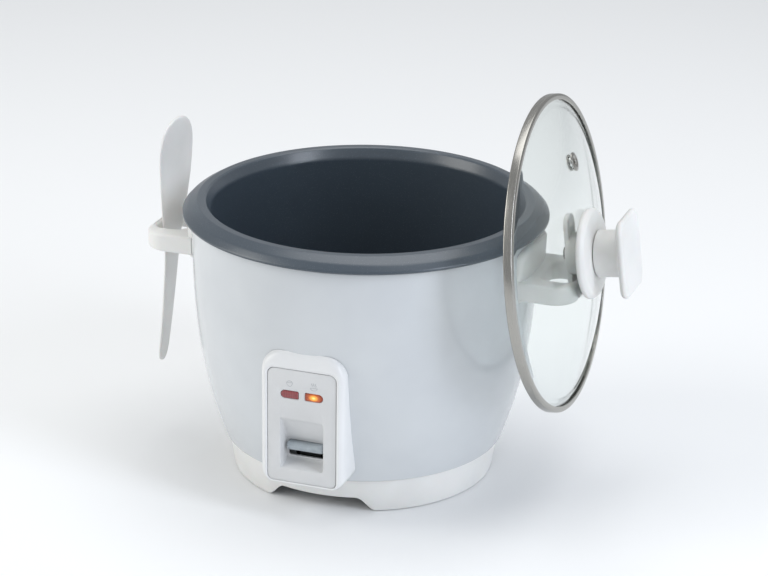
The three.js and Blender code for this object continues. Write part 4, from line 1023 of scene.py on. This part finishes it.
# %% A tree that spreads copies round the axis
def round_the_axis(name):
    """Copies the modifier's Shape on a circle: inputs Shape, Count, Radius, Start angle and Finish."""
    tree = bpy.data.node_groups.new(name, "GeometryNodeTree")
    face_of = tree.interface.new_socket
    face_of(name="Geometry", in_out="INPUT", socket_type="NodeSocketGeometry")
    for label, kind in (("Shape", "NodeSocketObject"), ("Count", "NodeSocketInt"),
                        ("Radius", "NodeSocketFloat"), ("Start", "NodeSocketFloat"),
                        ("Finish", "NodeSocketMaterial")):
        face_of(name=label, in_out="INPUT", socket_type=kind)
    face_of(name="Geometry", in_out="OUTPUT", socket_type="NodeSocketGeometry")

    def add(kind, links=None, **settings):
        made = tree.nodes.new(kind)
        for key, value in settings.items():
            setattr(made, key, value)
        for socket, source in (links or {}).items():
            tree.links.new(source, made.inputs[socket])
        return made

    given = add("NodeGroupInput").outputs
    line = add("GeometryNodeMeshLine", {"Count": given["Count"]}, mode="OFFSET")
    line.inputs["Offset"].default_value = (0, 0, 0)
    index = add("GeometryNodeInputIndex")
    share = add("ShaderNodeMath", {0: index.outputs[0], 1: given["Count"]}, operation="DIVIDE")
    turn = add("ShaderNodeMath", {0: share.outputs[0]}, operation="MULTIPLY")
    turn.inputs[1].default_value = 2 * math.pi
    angle = add("ShaderNodeMath", {0: turn.outputs[0], 1: given["Start"]}, operation="ADD")
    euler = add("ShaderNodeCombineXYZ", {"Z": angle.outputs[0]})
    reach = add("ShaderNodeCombineXYZ", {"X": given["Radius"]})
    shape = add("GeometryNodeObjectInfo", {"Object": given["Shape"]}, transform_space="ORIGINAL")
    moved = add("GeometryNodeTransform", {"Geometry": shape.outputs["Geometry"],
                                          "Translation": reach.outputs[0]})
    copies = add("GeometryNodeInstanceOnPoints", {"Points": line.outputs["Mesh"],
                                                  "Instance": moved.outputs["Geometry"],
                                                  "Rotation": euler.outputs[0]})
    real = add("GeometryNodeRealizeInstances", {"Geometry": copies.outputs["Instances"]})
    coloured = add("GeometryNodeSetMaterial", {"Geometry": real.outputs["Geometry"],
                                               "Material": given["Finish"]})
    add("NodeGroupOutput", {"Geometry": coloured.outputs["Geometry"]})
    return tree


ring_tree = round_the_axis("copies_round_the_axis")


def spread(name, shape, count, radius, start, material):
    """One mesh of count copies of shape round the axis."""
    made = mesh_object(name, [], [])
    step = made.modifiers.new("copies", "NODES")
    step.node_group = ring_tree
    inputs = [item for item in ring_tree.interface.items_tree if item.in_out == "INPUT"]
    sockets = {item.name: item.identifier for item in inputs}
    for label, value in (("Shape", shape), ("Count", count), ("Radius", radius * MM), ("Start", start),
                         ("Finish", material)):
        step[sockets[label]] = value
    baked(made)
    bpy.data.objects.remove(shape)
    return made


# %% Bottom cover and its screws
cover_low, cover_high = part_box("bottom_cover")
cover_z0, cover_z1, cover_r = cover_low.z / MM, cover_high.z / MM, (cover_high.x - cover_low.x) / 2 / MM
cover = turned("pressed_cover", [
    (0, cover_z0 + 0.1, 0), (30, cover_z0 + 0.1, 0.4), (31, cover_z0, 0.4), (34, cover_z0, 0.4),
    (35, cover_z0 + 0.1, 0.4),
    (cover_r, cover_z0 + 0.1, 0.3), (cover_r, cover_z1, 0.3), (0, cover_z1, 0)], 128)
slot_shape = plate("slot", [rounded_outline(-10, 10, -2, 2, [1.98] * 4, 5)], cover_z0 - 1, cover_z1 + 1, 0)
screw_hole = turned("tool", [(0, cover_z0 - 1, 0), (1.9, cover_z0 - 1, 0), (1.9, cover_z1 + 1, 0),
                             (0, cover_z1 + 1, 0)], 24)
slot_count, slot_r, first_slot = 10, 48, 0.31
screw_count, screw_r, first_screw = 3, 65, math.pi / 2
boolean(cover, "DIFFERENCE", spread("slots", slot_shape, slot_count, slot_r, first_slot, zinc),
        spread("holes", screw_hole, screw_count, screw_r, first_screw, zinc))
finish(cover, zinc, "base", "plated_steel", "bottom_cover")

screw_low, screw_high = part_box("bottom_screw_1")
head_z, seat_z, tip_z = screw_low.z / MM, screw_low.z / MM + 2, screw_high.z / MM
pan_screw = turned("screw", [
    (0, head_z + 0.02, 0), (2.2, head_z + 0.02, 0.9), (3.4, seat_z - 0.4, 0.6), (3.4, seat_z, 0.1),
    (1.6, seat_z, 0.2), (1.6, tip_z - 1.6, 0.2), (0.4, tip_z, 0.2), (0, tip_z, 0)], 32)
for turn_by in (0, math.pi / 2):
    recess = box_tool(-1.9, 1.9, -0.4, 0.4, head_z - 1, head_z + 1.1)
    recess.data.transform(Matrix.Rotation(turn_by, 4, "Z"))
    boolean(pan_screw, "DIFFERENCE", recess)
screws = spread("cross_head_screws", pan_screw, screw_count, screw_r, first_screw, zinc)
finish(screws, zinc, "base", "plated_steel", "bottom_screw_1", "bottom_screw_2", "bottom_screw_3")
print("cover faces:", len(cover.data.polygons), "screw faces:", len(screws.data.polygons))

# %% [markdown]
# ## The mains inlet
# The inlet's flange and socket are right as they stand in the working model. A copy has its doubles
# merged and its flat faces joined, and then a bevel takes the sharpness off every edge.


# %% Inlet and its pins
def eased(name, cad_node, width):
    """A copy of a working piece with its flat faces joined and its edges rounded."""
    made = bpy.data.objects.new(name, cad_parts[cad_node].data.copy())
    bpy.context.scene.collection.objects.link(made)
    work = bmesh.new()
    work.from_mesh(made.data)
    bmesh.ops.remove_doubles(work, verts=work.verts, dist=2e-6)
    bmesh.ops.dissolve_limit(work, angle_limit=math.radians(4), verts=work.verts, edges=work.edges)
    work.to_mesh(made.data)
    work.free()
    return baked(made, ("BEVEL", {"width": width * MM, "segments": 3, "limit_method": "ANGLE",
                                  "angle_limit": math.radians(35), "use_clamp_overlap": True}))


finish(eased("inlet_moulding", "mains_inlet", 0.4), phenolic, "base", "black_plastic", "mains_inlet",
       place=Matrix())
for i in (1, 2):
    node_name = f"inlet_pin_{i}"
    low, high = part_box(node_name)
    pin_r = (high.x - low.x) / 2 / MM
    length = (high.y - low.y) / MM
    pin = turned(f"contact_pin_{i}", [(0, 0, 0), (pin_r, 0, 0.3), (pin_r, length - 1, 0.5),
                                      (pin_r - 0.9, length, 0.5), (0, length, 0)], 32)
    root = Matrix.Translation(((low.x + high.x) / 2, low.y, (low.z + high.z) / 2))
    lie = root @ Matrix.Rotation(-math.pi / 2, 4, "X")
    finish(pin, stainless, "base", "stainless", node_name, place=lie)

# %% [markdown]
# ## The two coil springs
# A spring has one end on each of two pieces that move apart, so it can't simply ride on either. It
# is wound as round wire on a helix in the working spring's place, and rides on no body.


# %% Springs
def wound_spring(node, wire, turns):
    """A coil of round wire in the working spring's place, from its foot to its top."""
    low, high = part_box(node)
    reach = (high.x - low.x) / 2 - wire * MM
    z0, z1, steps, sides = low.z + wire * MM, high.z - wire * MM, 40, 12
    rings = []
    for k in range(int(turns * steps) + 1):
        angle, height = 2 * math.pi * k / steps, z0 + (z1 - z0) * k / (turns * steps)
        out = Vector((math.cos(angle), math.sin(angle), 0))
        rings.append([tuple(out * (reach + wire * MM * math.cos(a))
                            + Vector((0, 0, height + wire * MM * math.sin(a))))
                      for a in (2 * math.pi * side / sides for side in range(sides))])
    made = finish(lofted(node + "_coil", rings), zinc, None, "plated_steel", node)
    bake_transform(made)
    return made


wound_spring("sensor_spring", 0.7, 4)
wound_spring("magnet_spring", 0.4, 2.5)
print("springs wound")

# %% [markdown]
# ## The pieces inside
# The heater, sensor, latch, switch and leads are hidden in use, so their working shapes stay, and
# each gets the finish of its own metal, rubber or ferrite. Those finishes read the piece's own
# place, because a working piece has no map laid along it.

# %% Finishes for the carried-over pieces
spun = new_material("turned_aluminium_plate", "#b9bbbe", 0.42, Metallic=1.0)
mapped, _ = grained(spun, 0.8, 0.012, (0.34, 0.5), detail=3.0)
tinted(spun, mapped, "#bdbfc2", "#acaeb2", 9)
polished = new_material("plain_stainless_steel", "#a9a7a2", 0.28, Metallic=1.0)
mapped, _ = grained(polished, 0.5, 0.004, (0.22, 0.34), stretch=(1, 1, 0.2))
tinted(polished, mapped, "#adaba6", "#9f9d98", 6)
inside = {
    spun: ["heat_shield", "heating_plate", "sensor_cap"],
    polished: ["lever_pin", "knob_screw", "heater_element"],
    zinc: ["sensor_seat", "lever_arm", "lever_bracket",
           *[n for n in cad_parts
             if n.startswith(("plate_s", "panel_screw", "left_handle_s", "right_handle_s"))]],
    ferrite: ["sensor_ferrite", "latch_magnet"],
    lever_abs: ["magnet_holder"],
    phenolic: ["switch_body"],
    red_lens: ["switch_plunger"],
    lamp_glass: ["cook_lamp", "warm_lamp"],
    board_epoxy: ["lamp_board"],
    fibreglass: ["thermal_fuse"],
    silicone: [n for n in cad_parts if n.startswith("lead_")],
}
for material, names in inside.items():
    for name in names:
        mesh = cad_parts[name].data
        mesh.materials.clear()
        mesh.materials.append(material)
shown = [n for n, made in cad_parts.items() if not made.hide_render]
finished = {name for names in inside.values() for name in names}
print("carried over:", len(shown), "without a finish:", sorted(set(shown) - finished))

# %% [markdown]
# ## Floor and sizes
# A wide pale floor receives a soft contact shadow and runs off past the view. The two boxes printed
# here are the working model's and the finished model's, which should agree.

# %% Floor
floor_half, floor_z = 6, -0.0004
corners = [(x * floor_half, y * floor_half, floor_z) for x, y in ((-1, -1), (1, -1), (1, 1), (-1, 1))]
floor = mesh_object("pale_floor", corners, [(0, 1, 2, 3)])
floor_paint = new_material("matt_white_floor", "#f0f1f2", 0.9)
grained(floor_paint, 4, 0.01, (0.85, 0.95))
floor.data.materials.append(floor_paint)
floor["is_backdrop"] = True

# %% Sizes and finish
look_low, look_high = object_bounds()
sizes = {"cad": [list(cad_low), list(cad_high)], "visual": [list(look_low), list(look_high)]}
for label, (low, high) in sizes.items():
    print(label, [round((b - a) / MM, 1) for a, b in zip(low, high)])
